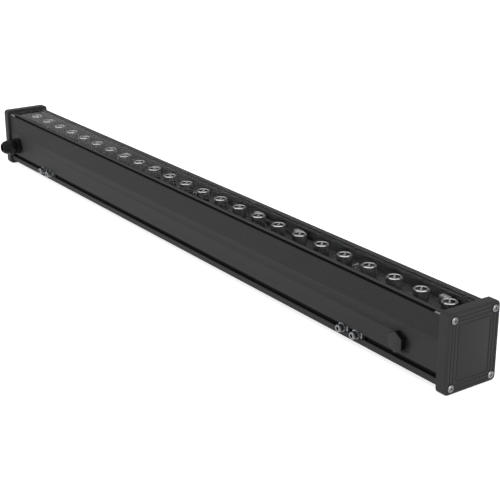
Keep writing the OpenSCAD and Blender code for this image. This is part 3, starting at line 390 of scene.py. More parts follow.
finishes = {
    "powderCoat": {"colour": srgb("2e2e2e"), "second": srgb("333333"), "speck": srgb("424242"),
                   "speckShare": 0.35, "grain": 2600.0, "mottle": 14.0, "rough": (0.54, 0.62), "bump": 0.35,
                   "depth": 0.00006, "edge": srgb("4a4b4b"), "wear": 0.2, "radius": 0.00035,
                   "specular": 0.08},
    "capCoat": {"colour": srgb("2e2e2e"), "second": srgb("333333"), "speck": srgb("424242"),
                "speckShare": 0.35, "grain": 2600.0, "mottle": 20.0, "rough": (0.52, 0.6), "bump": 0.35,
                "depth": 0.00006, "edge": srgb("4c4d4d"), "wear": 0.25, "radius": 0.0005,
                "specular": 0.08},
    "blackRubber": {"colour": srgb("111111"), "second": srgb("181817"), "grain": 1600.0, "rough": (0.7, 0.82),
                    "bump": 0.2, "depth": 0.00004, "dust": 0.04},
    "steelScrew": {"colour": srgb("b9bbbd"), "second": srgb("9fa1a3"), "metal": 1.0, "rough": (0.22, 0.34),
                   "grain": 1800.0, "mottle": 120.0, "bump": 0.1, "depth": 0.00002, "edge": srgb("dcdddf"),
                   "wear": 0.6, "radius": 0.00012, "marks": (1.0, 1.0, 0.15)},
    "blackNylon": {"colour": srgb("101011"), "second": srgb("151516"), "grain": 1400.0, "mottle": 60.0,
                   "rough": (0.24, 0.32), "bump": 0.1, "depth": 0.00003, "edge": srgb("3a3a3b"), "wear": 0.3,
                   "radius": 0.0002, "specular": 0.1},
    "blackMask": {"colour": srgb("3f4040"), "second": srgb("484949"), "grain": 900.0, "mottle": 120.0,
                  "rough": (0.45, 0.55), "bump": 0.1, "depth": 0.00003, "specular": 0.2},
    "phosphor": {"colour": srgb("e8df9a"), "second": srgb("ddcf78"), "grain": 4000.0, "rough": (0.5, 0.6),
                 "bump": 0.1, "depth": 0.00002},
    "zincSteel": {"colour": srgb("a7aaad"), "second": srgb("8f9396"), "metal": 1.0, "rough": (0.35, 0.5),
                  "grain": 1200.0, "mottle": 90.0, "bump": 0.1, "depth": 0.00003},
    "greenBoard": {"colour": srgb("1d5a35"), "second": srgb("246b40"), "grain": 1200.0, "rough": (0.35, 0.45),
                   "bump": 0.1, "depth": 0.00003},
    "ferrite": {"colour": srgb("2c2c2e"), "second": srgb("3a3a3c"), "grain": 1500.0, "rough": (0.6, 0.75),
                "bump": 0.25, "depth": 0.00005},
    "yellowTape": {"colour": srgb("c9a227"), "second": srgb("b48d1c"), "grain": 900.0, "rough": (0.35, 0.5),
                   "bump": 0.2, "depth": 0.00005},
    "capacitorSleeve": {"colour": srgb("15181d"), "second": srgb("1d2128"), "grain": 900.0,
                        "rough": (0.3, 0.42), "bump": 0.1, "depth": 0.00003},
    "drawnAluminium": {"colour": srgb("b5b8ba"), "second": srgb("a0a3a6"), "metal": 1.0, "rough": (0.3, 0.42),
                       "grain": 900.0, "mottle": 50.0, "bump": 0.1, "depth": 0.00003,
                       "marks": (0.05, 1.0, 1.0)},
    "greenTerminal": {"colour": srgb("2f7d4f"), "second": srgb("286f45"), "grain": 1300.0,
                      "rough": (0.4, 0.5), "bump": 0.1, "depth": 0.00003},
    "brownWire": {"colour": srgb("3a2a22"), "second": srgb("33251e"), "grain": 1300.0, "rough": (0.35, 0.45),
                "bump": 0.1, "depth": 0.00003},
    "blackWire": {"colour": srgb("1b1b1b"), "second": srgb("232323"), "grain": 1300.0, "rough": (0.35, 0.45),
                  "bump": 0.1, "depth": 0.00003},
    "earthWire": {"colour": srgb("3f8f3b"), "second": srgb("3f8f3b"), "speck": srgb("e0c53a"),
                  "speckShare": 0.5, "grain": 260.0, "rough": (0.35, 0.45), "bump": 0.1, "depth": 0.00003},
    "whiteFilm": {"colour": srgb("e4e4e0"), "second": srgb("d8d8d3"), "grain": 3000.0, "rough": (0.6, 0.7),
                  "bump": 0.15, "depth": 0.00003},
    "glassSeal": {"colour": srgb("343535"), "second": srgb("3a3b3b"), "grain": 1500.0, "rough": (0.5, 0.6),
                  "bump": 0.15, "depth": 0.00003, "specular": 0.2},
    # painted light on the inner faces of the ledge and of the glass seal
    "innerFaceLight": {"colour": srgb("3c3d3d"), "second": srgb("424343"), "grain": 1500.0, "rough": (0.5, 0.6),
                 "bump": 0.15, "depth": 0.00003, "specular": 0.2},
    "lightKeys": {"colour": srgb("999997"), "second": srgb("8e8e8c"), "grain": 1500.0, "mottle": 150.0,
                  "rough": (0.35, 0.45), "bump": 0.1, "depth": 0.00003},
    # painted fill light on the walls and floor of the recess
    "recessFillLight": {"colour": srgb("474848"), "second": srgb("4e4f4f"), "grain": 2600.0, "mottle": 14.0,
                   "rough": (0.5, 0.6), "bump": 0.3, "depth": 0.00006, "specular": 0.2},
    "glassEdge": {"colour": srgb("4e4f4f"), "second": srgb("545555"), "grain": 900.0, "mottle": 60.0,
                  "rough": (0.4, 0.5), "bump": 0.05, "depth": 0.00002, "specular": 0.2},
    "holderNylon": {"colour": srgb("343434"), "second": srgb("3a3a3a"), "grain": 1400.0, "mottle": 60.0,
                    "rough": (0.5, 0.6), "bump": 0.15, "depth": 0.00003, "specular": 0.1},
    # the next four finishes are the lens's painted highlight and painted shade
    "lensShadedSide": {"colour": srgb("4a4a4a"), "second": srgb("545454"), "grain": 1800.0, "mottle": 200.0,
                  "rough": (0.4, 0.5), "bump": 0.08, "depth": 0.00002, "specular": 0.2},
    "lensHighlight": {"colour": srgb("dcdcdc"), "second": srgb("d0d0d0"), "grain": 1800.0, "mottle": 220.0,
                   "rough": (0.2, 0.3), "bump": 0.05, "depth": 0.00002, "specular": 0.2},
    "lensPaleHighlight": {"colour": srgb("a8a9a9"), "second": srgb("9c9d9d"), "grain": 1800.0, "mottle": 220.0,
                 "rough": (0.2, 0.3), "bump": 0.05, "depth": 0.00002, "specular": 0.2},
    "lensSoftHighlight": {"colour": srgb("727271"), "second": srgb("6a6a69"), "grain": 1800.0, "mottle": 220.0,
                    "rough": (0.3, 0.4), "bump": 0.05, "depth": 0.00002, "specular": 0.2},
    "smokedLens": {"colour": srgb("262626"), "second": srgb("2e2e2e"), "grain": 1800.0, "mottle": 200.0,
                   "rough": (0.4, 0.5), "bump": 0.05, "depth": 0.00002, "specular": 0.1},
    "smokedFlange": {"colour": srgb("363636"), "second": srgb("3c3c3c"), "grain": 1800.0, "mottle": 200.0,
                     "rough": (0.4, 0.5), "bump": 0.05, "depth": 0.00002, "specular": 0.1},
    # painted shade in the slots' hollows and the corner ports
    "hollowShade": {"colour": srgb("1a1b1b"), "second": srgb("1f2020"), "grain": 2600.0, "mottle": 14.0,
                 "rough": (0.6, 0.7), "bump": 0.3, "depth": 0.00006, "specular": 0.05},
    "connectorNylon": {"colour": srgb("4a4b4b"), "second": srgb("525353"), "grain": 1600.0, "mottle": 50.0,
                       "rough": (0.5, 0.6), "bump": 0.15, "depth": 0.00004, "specular": 0.2},
    "whiteCeramic": {"colour": srgb("e4e5e2"), "second": srgb("d8d9d5"), "grain": 1700.0, "mottle": 200.0,
                     "rough": (0.4, 0.5), "bump": 0.12, "depth": 0.00003},
    "capScrew": {"colour": srgb("828284"), "second": srgb("6a6a6c"), "metal": 1.0, "rough": (0.3, 0.4),
                 "grain": 1800.0, "mottle": 120.0, "bump": 0.1, "depth": 0.00002, "edge": srgb("a4a5a7"),
                 "wear": 0.4, "radius": 0.00012, "marks": (1.0, 1.0, 0.15)},
    "threadSteel": {"colour": srgb("90908e"), "second": srgb("7c7c7a"), "metal": 0.3, "rough": (0.45, 0.55),
                    "grain": 1500.0, "mottle": 120.0, "bump": 0.15, "depth": 0.00004},
    "brightSteel": {"colour": srgb("8a8c8e"), "second": srgb("6c6e70"), "metal": 1.0, "rough": (0.16, 0.26),
                    "grain": 1800.0, "mottle": 160.0, "bump": 0.1, "depth": 0.00002, "edge": srgb("c8c9cb"),
                    "wear": 0.6, "radius": 0.00012},
    "brassScrew": {"colour": srgb("c2a24f"), "second": srgb("ab8c3e"), "metal": 1.0, "rough": (0.25, 0.36),
                   "grain": 1500.0, "mottle": 120.0, "bump": 0.08, "depth": 0.00002},
    "copperWire": {"colour": srgb("b5673a"), "second": srgb("9c552d"), "metal": 0.8, "rough": (0.25, 0.35),
                   "grain": 900.0, "mottle": 90.0, "bump": 0.08, "depth": 0.00002, "coat": 0.4},
    # a painted reflection on the vent cap's face
    "ventFaceReflection": {"colour": srgb("1f1f1f"), "second": srgb("242424"), "grain": 1600.0, "mottle": 50.0,
                  "rough": (0.5, 0.6), "bump": 0.2, "depth": 0.00004, "specular": 0.2},
    "greyRubber": {"colour": srgb("1c1c1c"), "second": srgb("232323"), "grain": 1600.0, "rough": (0.7, 0.82),
                   "bump": 0.2, "depth": 0.00004},
}
made = {name: makeFinish(name, look) for name, look in finishes.items()}
# "mirror" turns the Fresnel share from 0.18 to 0.6 into a mirrored share from 0 to 0.8
glassSet = {"colour": (0.99, 0.99, 0.99, 1), "second": (0.98, 0.985, 0.985, 1), "film": 25.0, "ior": 1.45,
            "mirror": (0.18, 0.6, 0.0, 0.8), "pass": (0.98, 0.98, 0.98, 1)}
made["floatGlass"] = makeClear("floatGlass", glassSet)
print("finishes made:", len(made))

# modelling helpers

nodeBodies = {node: body for body, group in frame["record"]["behaviour"]["bodies"].items() for node in group}


def turn(profile, steps=64, closed=False):
    # spins a line of (radius, height) points in millimetres round the Z axis
    mesh = bmesh.new()
    corners = [mesh.verts.new((radius * mm, 0, height * mm)) for radius, height in profile]
    edges = [mesh.edges.new(pair) for pair in zip(corners, corners[1:])]
    if closed:
        edges.append(mesh.edges.new((corners[-1], corners[0])))
    bmesh.ops.spin(mesh, geom=corners + edges, cent=(0, 0, 0), axis=(0, 0, 1), angle=math.tau,
                   steps=steps, use_merge=True)
    bmesh.ops.remove_doubles(mesh, verts=mesh.verts, dist=0.001 * mm)
    bmesh.ops.recalc_face_normals(mesh, faces=mesh.faces)
    return mesh


def block(size, place=(0, 0, 0)):
    # a box of the given size in millimetres, with the middle of its underside at a place
    mesh = bmesh.new()
    bmesh.ops.create_cube(mesh, size=1)
    bmesh.ops.scale(mesh, vec=Vector(size) * mm, verts=mesh.verts)
    bmesh.ops.translate(mesh, vec=(Vector(place) + Vector((0, 0, size[2] / 2))) * mm, verts=mesh.verts)
    return mesh


def prism(sides, across, low, high):
    # an upright prism with the given width across its flats
    mesh = bmesh.new()
    corner = across / 2 / math.cos(math.pi / sides) * mm
    bmesh.ops.create_cone(mesh, cap_ends=True, segments=sides, radius1=corner, radius2=corner,
                          depth=(high - low) * mm)
    bmesh.ops.translate(mesh, vec=(0, 0, (low + high) / 2 * mm), verts=mesh.verts)
    return mesh


def ring(inner, outer, low, high):
    # a plain ring, from its two radii and two heights
    return turn([(inner, low), (outer, low), (outer, high), (inner, high)], closed=True)


def torus(middle, half, sides, steps=64):
    # a round bar bent to a full turn
    around = [math.tau * i / sides for i in range(sides)]
    return turn([(middle + half * math.cos(a), half * math.sin(a)) for a in around], steps, closed=True)


def bevelEdges(mesh, edges, width, segments):
    bmesh.ops.bevel(mesh, geom=edges, offset=width * mm, offset_type="OFFSET", affect="EDGES",
                    segments=segments, profile=0.5, material=-1, clamp_overlap=True)
    return mesh


def soften(mesh, width, angle=30):
    # bevels every edge that is sharper than the angle
    sharp = [edge for edge in mesh.edges
             if len(edge.link_faces) == 2 and edge.calc_face_angle() > math.radians(angle)]
    return bevelEdges(mesh, sharp, width, 2)


def shift(x, y, z):
    # a move in millimetres
    return Matrix.Translation((x * mm, y * mm, z * mm))


def spin(degrees, axis="Z"):
    return Matrix.Rotation(math.radians(degrees), 4, axis)


def move(mesh, matrix):
    bmesh.ops.transform(mesh, matrix=matrix, verts=mesh.verts)
    return mesh


def gather(*parts):
    # joins several bmeshes in one and frees them
    whole = bmesh.new()
    for part in parts:
        data = bpy.data.meshes.new("part")
        part.to_mesh(data)
        part.free()
        whole.from_mesh(data)
        bpy.data.meshes.remove(data)
    return whole


def copies(mesh, matrices):
    # the same shape at each of several places
    data = bpy.data.meshes.new("part")
    mesh.to_mesh(data)
    mesh.free()
    whole = bmesh.new()
    for matrix in matrices:
        placed = data.copy()
        placed.transform(matrix)
        whole.from_mesh(placed)
        bpy.data.meshes.remove(placed)
    bpy.data.meshes.remove(data)
    return whole


def cutAway(mesh, cutter):
    # takes the cutter's shape out of the mesh
    pair = []
    for part in (mesh, cutter):
        data = bpy.data.meshes.new("part")
        part.to_mesh(data)
        part.free()
        pair.append(bpy.data.objects.new("part", data))
        scene.collection.objects.link(pair[-1])
    cut = pair[0].modifiers.new("cut", "BOOLEAN")
    cut.operation = "DIFFERENCE"
    cut.solver = "EXACT"
    cut.object = pair[1]
    graph = bpy.context.evaluated_depsgraph_get()
    left = bmesh.new()
    left.from_mesh(pair[0].evaluated_get(graph).to_mesh())
    for part in pair:
        data = part.data
        bpy.data.objects.remove(part)
        bpy.data.meshes.remove(data)
    return left


def paint(mesh, rule):
    # picks each face's finish by number, from its middle in millimetres and its normal
    for face in mesh.faces:
        face.material_index = rule(face.calc_center_median() / mm, face.normal)
    return mesh


def finishNode(nodeName, material):
    for materialSlot in frame["nodes"][nodeName].material_slots:
        materialSlot.material = material


def finishPiece(name, mesh, finish, *nodeNames, sharp=35, bevel=0):
    # makes the object, gives it its finish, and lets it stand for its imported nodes, which get the finish too
    data = bpy.data.meshes.new(name)
    mesh.to_mesh(data)
    mesh.free()
    data.polygons.foreach_set("use_smooth", [True] * len(data.polygons))
    data.set_sharp_from_angle(angle=math.radians(sharp))
    for finishName in ([finish] if isinstance(finish, str) else finish):
        data.materials.append(made[finishName])
    piece = bpy.data.objects.new(name, data)
    scene.collection.objects.link(piece)
    if bevel:
        edges = piece.modifiers.new("edges", "BEVEL")
        edges.width = bevel * mm
        edges.segments = 2
        edges.limit_method = "ANGLE"
        edges.angle_limit = math.radians(sharp)
        edges.use_clamp_overlap = False
        edges.harden_normals = True
    for nodeName in nodeNames:
        finishNode(nodeName, data.materials[0])
    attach(piece, nodeBodies[nodeNames[0]])
    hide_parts(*nodeNames)


# places that several pieces share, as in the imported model, in millimetres

bodyFront = -30
boardTop = 57.6
driverBoardTop = 10.7
screwSide = 26.75
screwHeights = (3.25, 73.75)
glandPlace = (-461, 31)
ventPlace = (433, 29.5)


def onFront(x, z):
    # from a fitting's own axis to its place on the front of the body
    return shift(x, bodyFront, z) @ spin(90, "X")


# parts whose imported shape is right: a copy with its finish and the width of its softened edges

dressedSet = {
    "housing": (("powderCoat", "recessFillLight", "innerFaceLight", "hollowShade"), 0.2),
    "end_cap_left": ("capCoat", 0.15), "end_cap_right": ("capCoat", 0.15),
    "end_gasket_left": ("blackRubber", 0.2), "end_gasket_right": ("blackRubber", 0.2),
    "glass_seal": (("glassSeal", "innerFaceLight"), 0.2), "cover_glass": (("floatGlass", "glassEdge"), 0.2),
    "led_board_left": ("blackMask", 0.08), "led_board_middle": ("blackMask", 0.08),
    "led_board_right": ("blackMask", 0.08), "board_connectors": (("connectorNylon", "lightKeys"), 0.12),
    "driver_tray": ("zincSteel", 0.15), "driver_board": ("greenBoard", 0.08),
    "transformer_core": ("ferrite", 0.4), "transformer_winding": ("yellowTape", 0.5),
    "driver_heat_sink": ("drawnAluminium", 0.15), "terminal_block": ("greenTerminal", 0.25),
    "earth_lug": ("zincSteel", 0.1), "gland_body": ("blackNylon", 0.2),
    "gland_locknut": ("blackNylon", 0.25), "gland_claw": ("blackNylon", 0.1),
    "gland_dome_nut": ("blackNylon", 0.2), "vent_body": ("blackNylon", 0.15),
    "vent_locknut": ("blackNylon", 0.25),
    **{f"slot_nut_{number}": ("zincSteel", 0.25) for number in range(1, 5)},
}


# which of their faces have another finish: limits of a face's middle, in millimetres

housingZones = {
    "ledge": (70.5, 72.5), "ledgeHalf": 19.7,
    "port": 2.6,  # from the screw's axis, both ways
    "slot": (6.1, 16.1), "slotSide": (23.5, 28.1),
    "recess": (55.9, 76.9), "recessHalf": 27.7, "mouthLow": 70.9, "mouthHalf": 22.6,
}
keyHeight = 65.2


def within(value, limits):
    return limits[0] < value < limits[1]


def housingFace(middle, normal):
    # painted light: the recess and its ledge are lighter than the outside; painted shade: the corner ports and
    # the slots' hollows are darker
    zones, side, height = housingZones, abs(middle.y), middle.z
    if within(height, zones["ledge"]) and side < zones["ledgeHalf"] and abs(normal.y) > 0.9:
        return 2
    portAway = max(abs(side - screwSide), min(abs(height - screw) for screw in screwHeights))
    inSlot = within(height, zones["slot"]) and within(side, zones["slotSide"])
    if inSlot or portAway < zones["port"]:
        return 3
    half = zones["recessHalf"] if height < zones["mouthLow"] else zones["mouthHalf"]
    return 1 if within(height, zones["recess"]) and side < half else 0


paintRules = {
    "housing": housingFace,
    "cover_glass": lambda middle, normal: 1 if abs(normal.z) < 0.5 else 0,
    # the seal's inner faces get painted light and come out lighter than its top
    "glass_seal": lambda middle, normal: 0 if normal.z > 0.5 else 1,
    "board_connectors": lambda middle, normal: 1 if middle.z > keyHeight else 0,
}
splitHeights = {"board_connectors": keyHeight}


def dressCopy(nodeName, finish, bevel):
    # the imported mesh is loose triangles, so its copy is merged first
    mesh = bmesh.new()
    mesh.from_mesh(frame["nodes"][nodeName].data)
    bmesh.ops.remove_doubles(mesh, verts=mesh.verts, dist=0.002 * mm)
    if nodeName in splitHeights:
        bmesh.ops.bisect_plane(mesh, geom=mesh.verts[:] + mesh.edges[:] + mesh.faces[:],
                               plane_co=(0, 0, splitHeights[nodeName] * mm), plane_no=(0, 0, 1))
    if nodeName in paintRules:
        paint(mesh, paintRules[nodeName])
    name = nodeName.title().replace("_", "")
    finishPiece(name[0].lower() + name[1:], mesh, finish, nodeName, bevel=bevel)


for nodeName, (finish, bevel) in dressedSet.items():
    dressCopy(nodeName, finish, bevel)
print("packed shapes dressed:", len(dressedSet))


# cross-recessed pan head screws

crossScrewSets = {
    "cap": {"head": 8.0, "rise": 2.6, "shank": 3.8, "length": 25.0},
    "board": {"head": 5.5, "rise": 1.68, "shank": 2.9, "length": 3.6},
    "driver": {"head": 5.5, "rise": 1.68, "shank": 2.9, "length": 6.6},
    "earth": {"head": 7.0, "rise": 2.58, "shank": 3.8, "length": 7.0},
}
crossShares = {"tip": 0.7, "edge": 0.03, "reach": 0.6, "width": 0.15, "depth": 0.62, "point": (0.35, 0.8, 1)}
crossTurn = 20


def crossScrew(look):
    # the head's dome is a part of a ball as wide as two heads
    ball, half, rise, shank = look["head"], look["head"] / 2, look["rise"], look["shank"] / 2
    dome = [(half * share, rise - ball + math.sqrt(ball ** 2 - (half * share) ** 2))
            for share in (1, 0.88, 0.74, 0.58, 0.4, 0.2, 0)]
    screw = turn([(0, -look["length"]), (shank * crossShares["tip"], -look["length"]),
                  (shank, -look["length"] + shank * 0.5), (shank, 0), (half, 0)] + dome, steps=48)
    soften(screw, look["head"] * crossShares["edge"], angle=40)
    reach, depth = look["head"] * crossShares["reach"], rise * crossShares["depth"]
    for turned in (0, 90):
        arm = block((reach, look["head"] * crossShares["width"], depth + 1), (0, 0, rise - depth))
        low = [corner for corner in arm.verts if corner.co.z < (rise - depth / 2) * mm]
        bmesh.ops.scale(arm, vec=crossShares["point"], verts=low)
        screw = cutAway(screw, move(arm, spin(turned + crossTurn)))
    return screw


capScrewSet = {"seat": 500.9, "turned": (12, 47, 71, 30), "threadTop": -0.1}


def addCapScrews():
    look = capScrewSet
    corners = [(side * screwSide, height) for height in screwHeights for side in (-1, 1)]
    for side, out in (("left", -1), ("right", 1)):
        places = [shift(out * look["seat"], *corner) @ spin(out * 90, "Y") @ spin(turned)
                  for corner, turned in zip(corners, look["turned"])]
        screw = paint(crossScrew(crossScrewSets["cap"]),
                      lambda middle, normal: 1 if middle.z < look["threadTop"] else 0)
        finishPiece(f"capScrews{side.title()}", copies(screw, places), ("capScrew", "threadSteel"),
                    f"cap_screws_{side}")


addCapScrews()
print("cap screws done")


# lenses, their holders and the emitters, one row of twenty-four

rowSet = {"lights": 24, "pitch": 40, "middle": 7}  # the row's middle lies a little to the right
lightPlaces = [shift(rowSet["middle"] + rowSet["pitch"] * (number - (rowSet["lights"] - 1) / 2), 0, 0)
               for number in range(rowSet["lights"])]
lensSet = {
    "low": 59.6, "foot": 3.4, "cone": 7.2, "half": 8.4,
    "pocket": [(0, 63.1), (1.0, 63.0), (1.8, 62.4), (2.2, 61.6)],
    "flangeLow": 71.8, "lit": 73.1, "flangeTop": 73.4, "lip": 6.6, "ridge": 5.95, "ridgeTop": 73.58,
    "dish": 5.7, "dishLow": 71.5, "bar": 1.9, "barTop": 73.35, "barEdge": 0.15, "barTurn": -48,
    "front": -42, "brightTo": 36, "paleTo": 44, "paleFrom": 133,
}
# the lighter lens finishes are a painted highlight, the satin one painted shade
lensFinishes = ("smokedFlange", "lensHighlight", "lensPaleHighlight", "lensShadedSide", "smokedLens", "lensSoftHighlight")
holderSet = {"top": 71.8, "half": 8.48, "wall": 0.6, "foot": 3.8, "cone": 7.5, "edge": 0.12}
emitterSet = {"width": 3.5, "base": 0.7, "edge": 0.12, "dome": 1.3, "domeLow": 58.1, "domeMiddle": 57.95,
              "domeTop": 59.25}


def lensFace(middle, normal):
    # the flange carries a painted highlight and painted shade: bright at its front, pale beside that and at its
    # back, and darker at its sides
    look = lensSet
    radius, rim = math.hypot(middle.x, middle.y), look["dish"] + 0.1
    away = math.degrees(math.atan2(middle.y, middle.x)) - look["front"]
    away = abs((away + 180) % 360 - 180)
    if middle.z < look["lit"]:
        finish = "smokedFlange" if middle.z < look["flangeLow"] or radius > rim else "smokedLens"
    elif radius < rim:
        finish = "smokedLens"
    elif away < look["brightTo"]:
        finish = "lensHighlight" if radius > look["lip"] else "lensSoftHighlight"
    else:
        finish = "lensPaleHighlight" if away < look["paleTo"] or away > look["paleFrom"] else "lensShadedSide"
    return lensFinishes.index(finish)


def addLenses():
    # a flat flange and a fine ridge round a dark dish that a bar crosses, the bar a painted highlight, all with
    # rounded edges
    look = lensSet
    half, top, ridge, dish, dishLow = (look[key] for key in ("half", "flangeTop", "ridge", "dish", "dishLow"))
    side = [(look["foot"] + (look["cone"] - look["foot"]) * share ** 0.8,
             look["low"] + (look["flangeLow"] - look["low"]) * share) for share in (0, 0.2, 0.4, 0.6, 0.8, 1)]
    flange = [(half, look["flangeLow"]), (half, look["lit"]), (half, top - 0.25), (half - 0.25, top),
              (look["lip"], top), (ridge + 0.4, top)]
    crest = [(ridge + 0.15, look["ridgeTop"]), (ridge - 0.05, look["ridgeTop"])]
    inner = [(dish + 0.05, top - 0.3), (dish, dishLow + 0.3), (dish - 0.3, dishLow), (0, dishLow - 0.2)]
    lens = turn(look["pocket"] + [(2.2, look["low"])] + side + flange + crest + inner)
    paint(lens, lensFace)
    barSize = (2 * dish - 0.1, look["bar"], look["barTop"] - dishLow + 0.1)
    bar = soften(block(barSize, (0, 0, dishLow - 0.1)), look["barEdge"])
    # the bar is a painted highlight
    paint(bar, lambda middle, normal: lensFinishes.index("lensSoftHighlight"))
    move(bar, spin(look["barTurn"]))
    finishPiece("lenses", copies(gather(lens, bar), lightPlaces), lensFinishes, "lenses", sharp=40)


def addHolders():
    look = holderSet
    half, wall = look["half"], look["wall"]
    cup = turn([(look["foot"], boardTop), (half - wall, boardTop), (half, boardTop + wall), (half, look["top"]),
                (look["cone"], look["top"]), (look["foot"], lensSet["low"])], closed=True)
    finishPiece("lensHolders", copies(soften(cup, look["edge"]), lightPlaces), "holderNylon", "lens_holders")


def addEmitters():
    # a ceramic chip carrier with a yellow silicone dome
    look = emitterSet
    base = soften(block((look["width"], look["width"], look["base"]), (0, 0, boardTop)), look["edge"])
    dome = [(look["dome"] * math.cos(a), look["domeMiddle"] + look["dome"] * math.sin(a))
            for a in (0.15, 0.4, 0.7, 1.0, 1.3)]
    dome = turn([(0, look["domeLow"])] + dome + [(0, look["domeTop"])], steps=24)
    paint(dome, lambda middle, normal: 1)
    finishPiece("emitters", copies(gather(base, dome), lightPlaces), ("whiteCeramic", "phosphor"),
                "led_emitters")


addLenses()
addHolders()
addEmitters()
print("lenses, holders and emitters done")


# chip resistors and the small screws of the boards, the driver and the earth lug

boardPartSet = {
    "size": (2.0, 1.2, 0.6), "edge": 0.08, "cap": 0.62, "x": (-333, -13, 307), "y": (11.6, 15.1, 18.6),
}
smallScrewSet = {
    "boardStarts": (-473, -153, 167), "boardSteps": (80, 240), "boardSide": 18,
    "driverX": (-427, -117), "driverY": (-16, 16), "earth": (-488, 5, 32),
}


def addBoardParts():
    look = boardPartSet
    chip = soften(block(look["size"]), look["edge"])
    paint(chip, lambda middle, normal: 1 if abs(middle.x) > look["cap"] else 0)
    places = [shift(x, y, boardTop) for x in look["x"] for y in look["y"]]
    finishPiece("boardParts", copies(chip, places), ("whiteCeramic", "zincSteel"), "board_parts")


def addSmallScrews():
    # each screw is turned a little otherwise than the next
    look = smallScrewSet
    board = [shift(start + step, side * look["boardSide"], boardTop) @ spin(step * 3 + side * 20)
             for start in look["boardStarts"] for step in look["boardSteps"] for side in (-1, 1)]
    finishPiece("boardScrews", copies(crossScrew(crossScrewSets["board"]), board), "steelScrew",
                "board_screws")
    driver = [shift(x, y, driverBoardTop) @ spin(x + y) for x in look["driverX"] for y in look["driverY"]]
    finishPiece("driverScrews", copies(crossScrew(crossScrewSets["driver"]), driver), "steelScrew",
                "driver_screws")
    earth = move(crossScrew(crossScrewSets["earth"]), shift(*look["earth"]) @ spin(90, "Y"))
    finishPiece("earthScrew", earth, "brassScrew", "earth_screw")


addBoardParts()
addSmallScrews()
print("boards done")


# socket head screws and their washers in the front slot

slotSet = {
    "x": (-374.25, -351.35, 343.35, 366.25), "z": 11.1, "turned": 17,
    "head": 8.5, "low": 2.5, "top": 7.5, "shank": 4.8, "end": -6.0,
    "socket": 4.0, "socketDepth": 2.6, "knurl": 0.14, "knurlStep": 5,
    "edge": 0.07, "flatWasher": (2.7, 5, 0.2, 1.2), "flatEdge": 0.12,
}
springSet = {"inner": 2.7, "outer": 4.28, "low": 1.2, "top": 2.4, "edge": 0.12,
             "start": 6, "span": 348, "lean": 0.6}


def socketScrew(look):
    # a knurled head: every other line of points lies a little deeper
    half, low, top, shank = look["head"] / 2, look["low"], look["top"], look["shank"] / 2
    screw = turn([(0, look["end"]), (shank - 0.6, look["end"]), (shank, look["end"] + 0.6), (shank, low),
                  (half - 0.25, low), (half, low + 0.25), (half, top - 0.9), (half - 0.3, top - 0.75),
                  (half - 0.3, top - 0.3), (half - 0.6, top), (0, top)], steps=72)
    for point in screw.verts:
        line = round(math.degrees(math.atan2(point.co.y, point.co.x)) / look["knurlStep"])
        if line % 2 and math.hypot(point.co.x, point.co.y) > (half - 0.05) * mm:
            point.co.x *= 1 - look["knurl"] / half
            point.co.y *= 1 - look["knurl"] / half
    return cutAway(screw, prism(6, look["socket"], top - look["socketDepth"], top + 1))


def springWasher(look):
    # a square bar bent round to a slit, whose two faces lean the same way
    mesh = bmesh.new()
    corners = [mesh.verts.new((radius * mm, 0, height * mm))
               for radius, height in ((look["inner"], look["low"]), (look["outer"], look["low"]),
                                      (look["outer"], look["top"]), (look["inner"], look["top"]))]
    start = mesh.faces.new(corners)
    move(mesh, spin(look["start"]))
    bmesh.ops.spin(mesh, geom=corners + start.edges[:] + [start], cent=(0, 0, 0), axis=(0, 0, 1),
                   angle=math.radians(look["span"]), steps=58)
    bmesh.ops.recalc_face_normals(mesh, faces=mesh.faces)
    middle = (look["low"] + look["top"]) / 2
    for point in mesh.verts:
        if abs(math.atan2(point.co.y, point.co.x)) < math.radians(look["start"] + 2):
            point.co.y += (point.co.z / mm - middle) * look["lean"] * mm
    return soften(mesh, look["edge"], angle=50)


def addSlotFixings():
    look = slotSet
    for number, x in enumerate(look["x"], 1):
        place = onFront(x, look["z"]) @ spin(look["turned"] * number)
        screw = soften(socketScrew(look), look["edge"], angle=50)
        finishPiece(f"slotScrew{number}", move(screw, place), "brightSteel", f"slot_screw_{number}", sharp=25)
        spring = move(springWasher(springSet), place)
        finishPiece(f"springWasher{number}", spring, "brightSteel", f"spring_washer_{number}")
        flat = move(soften(ring(*look["flatWasher"]), look["flatEdge"]), place)
        finishPiece(f"flatWasher{number}", flat, "brightSteel", f"flat_washer_{number}")


addSlotFixings()
print("slot fixings done")


# turned parts of the gland and the vent

frontRings = {
    "glandWasher": ("gland_washer", glandPlace, (8.3, 11.0, 0.0, 1.0), "blackRubber"),
    "glandSeal": ("gland_seal", glandPlace, (4.0, 5.2, 8.0, 25.2), "greyRubber"),
    "ventWasher": ("vent_washer", ventPlace, (6.3, 8.6, 0.0, 1.0), "blackRubber"),
}
ringEdge = 0.25
membraneLine = [(0, 2.1), (4.4, 2.1), (4.4, 2.38), (3.4, 2.4), (1.7, 2.34), (0, 2.3)]
ventCapSet = {
    "across": 20, "low": 2.4, "top": 8.6, "corner": 1.4, "rim": 0.7,
    "hollow": 9.4, "hollowLow": 1.4, "hollowTop": 3.6,
    "groove": (40, 1.6, 1.8), "grooves": (0, 60, 120),
}


def addFrontRings():
    for name, (nodeName, place, sizes, finish) in frontRings.items():
        finishPiece(name, move(soften(ring(*sizes), ringEdge), onFront(*place)), finish, nodeName)
    finishPiece("ventMembrane", move(turn(membraneLine), onFront(*ventPlace)), "whiteFilm", "vent_membrane")


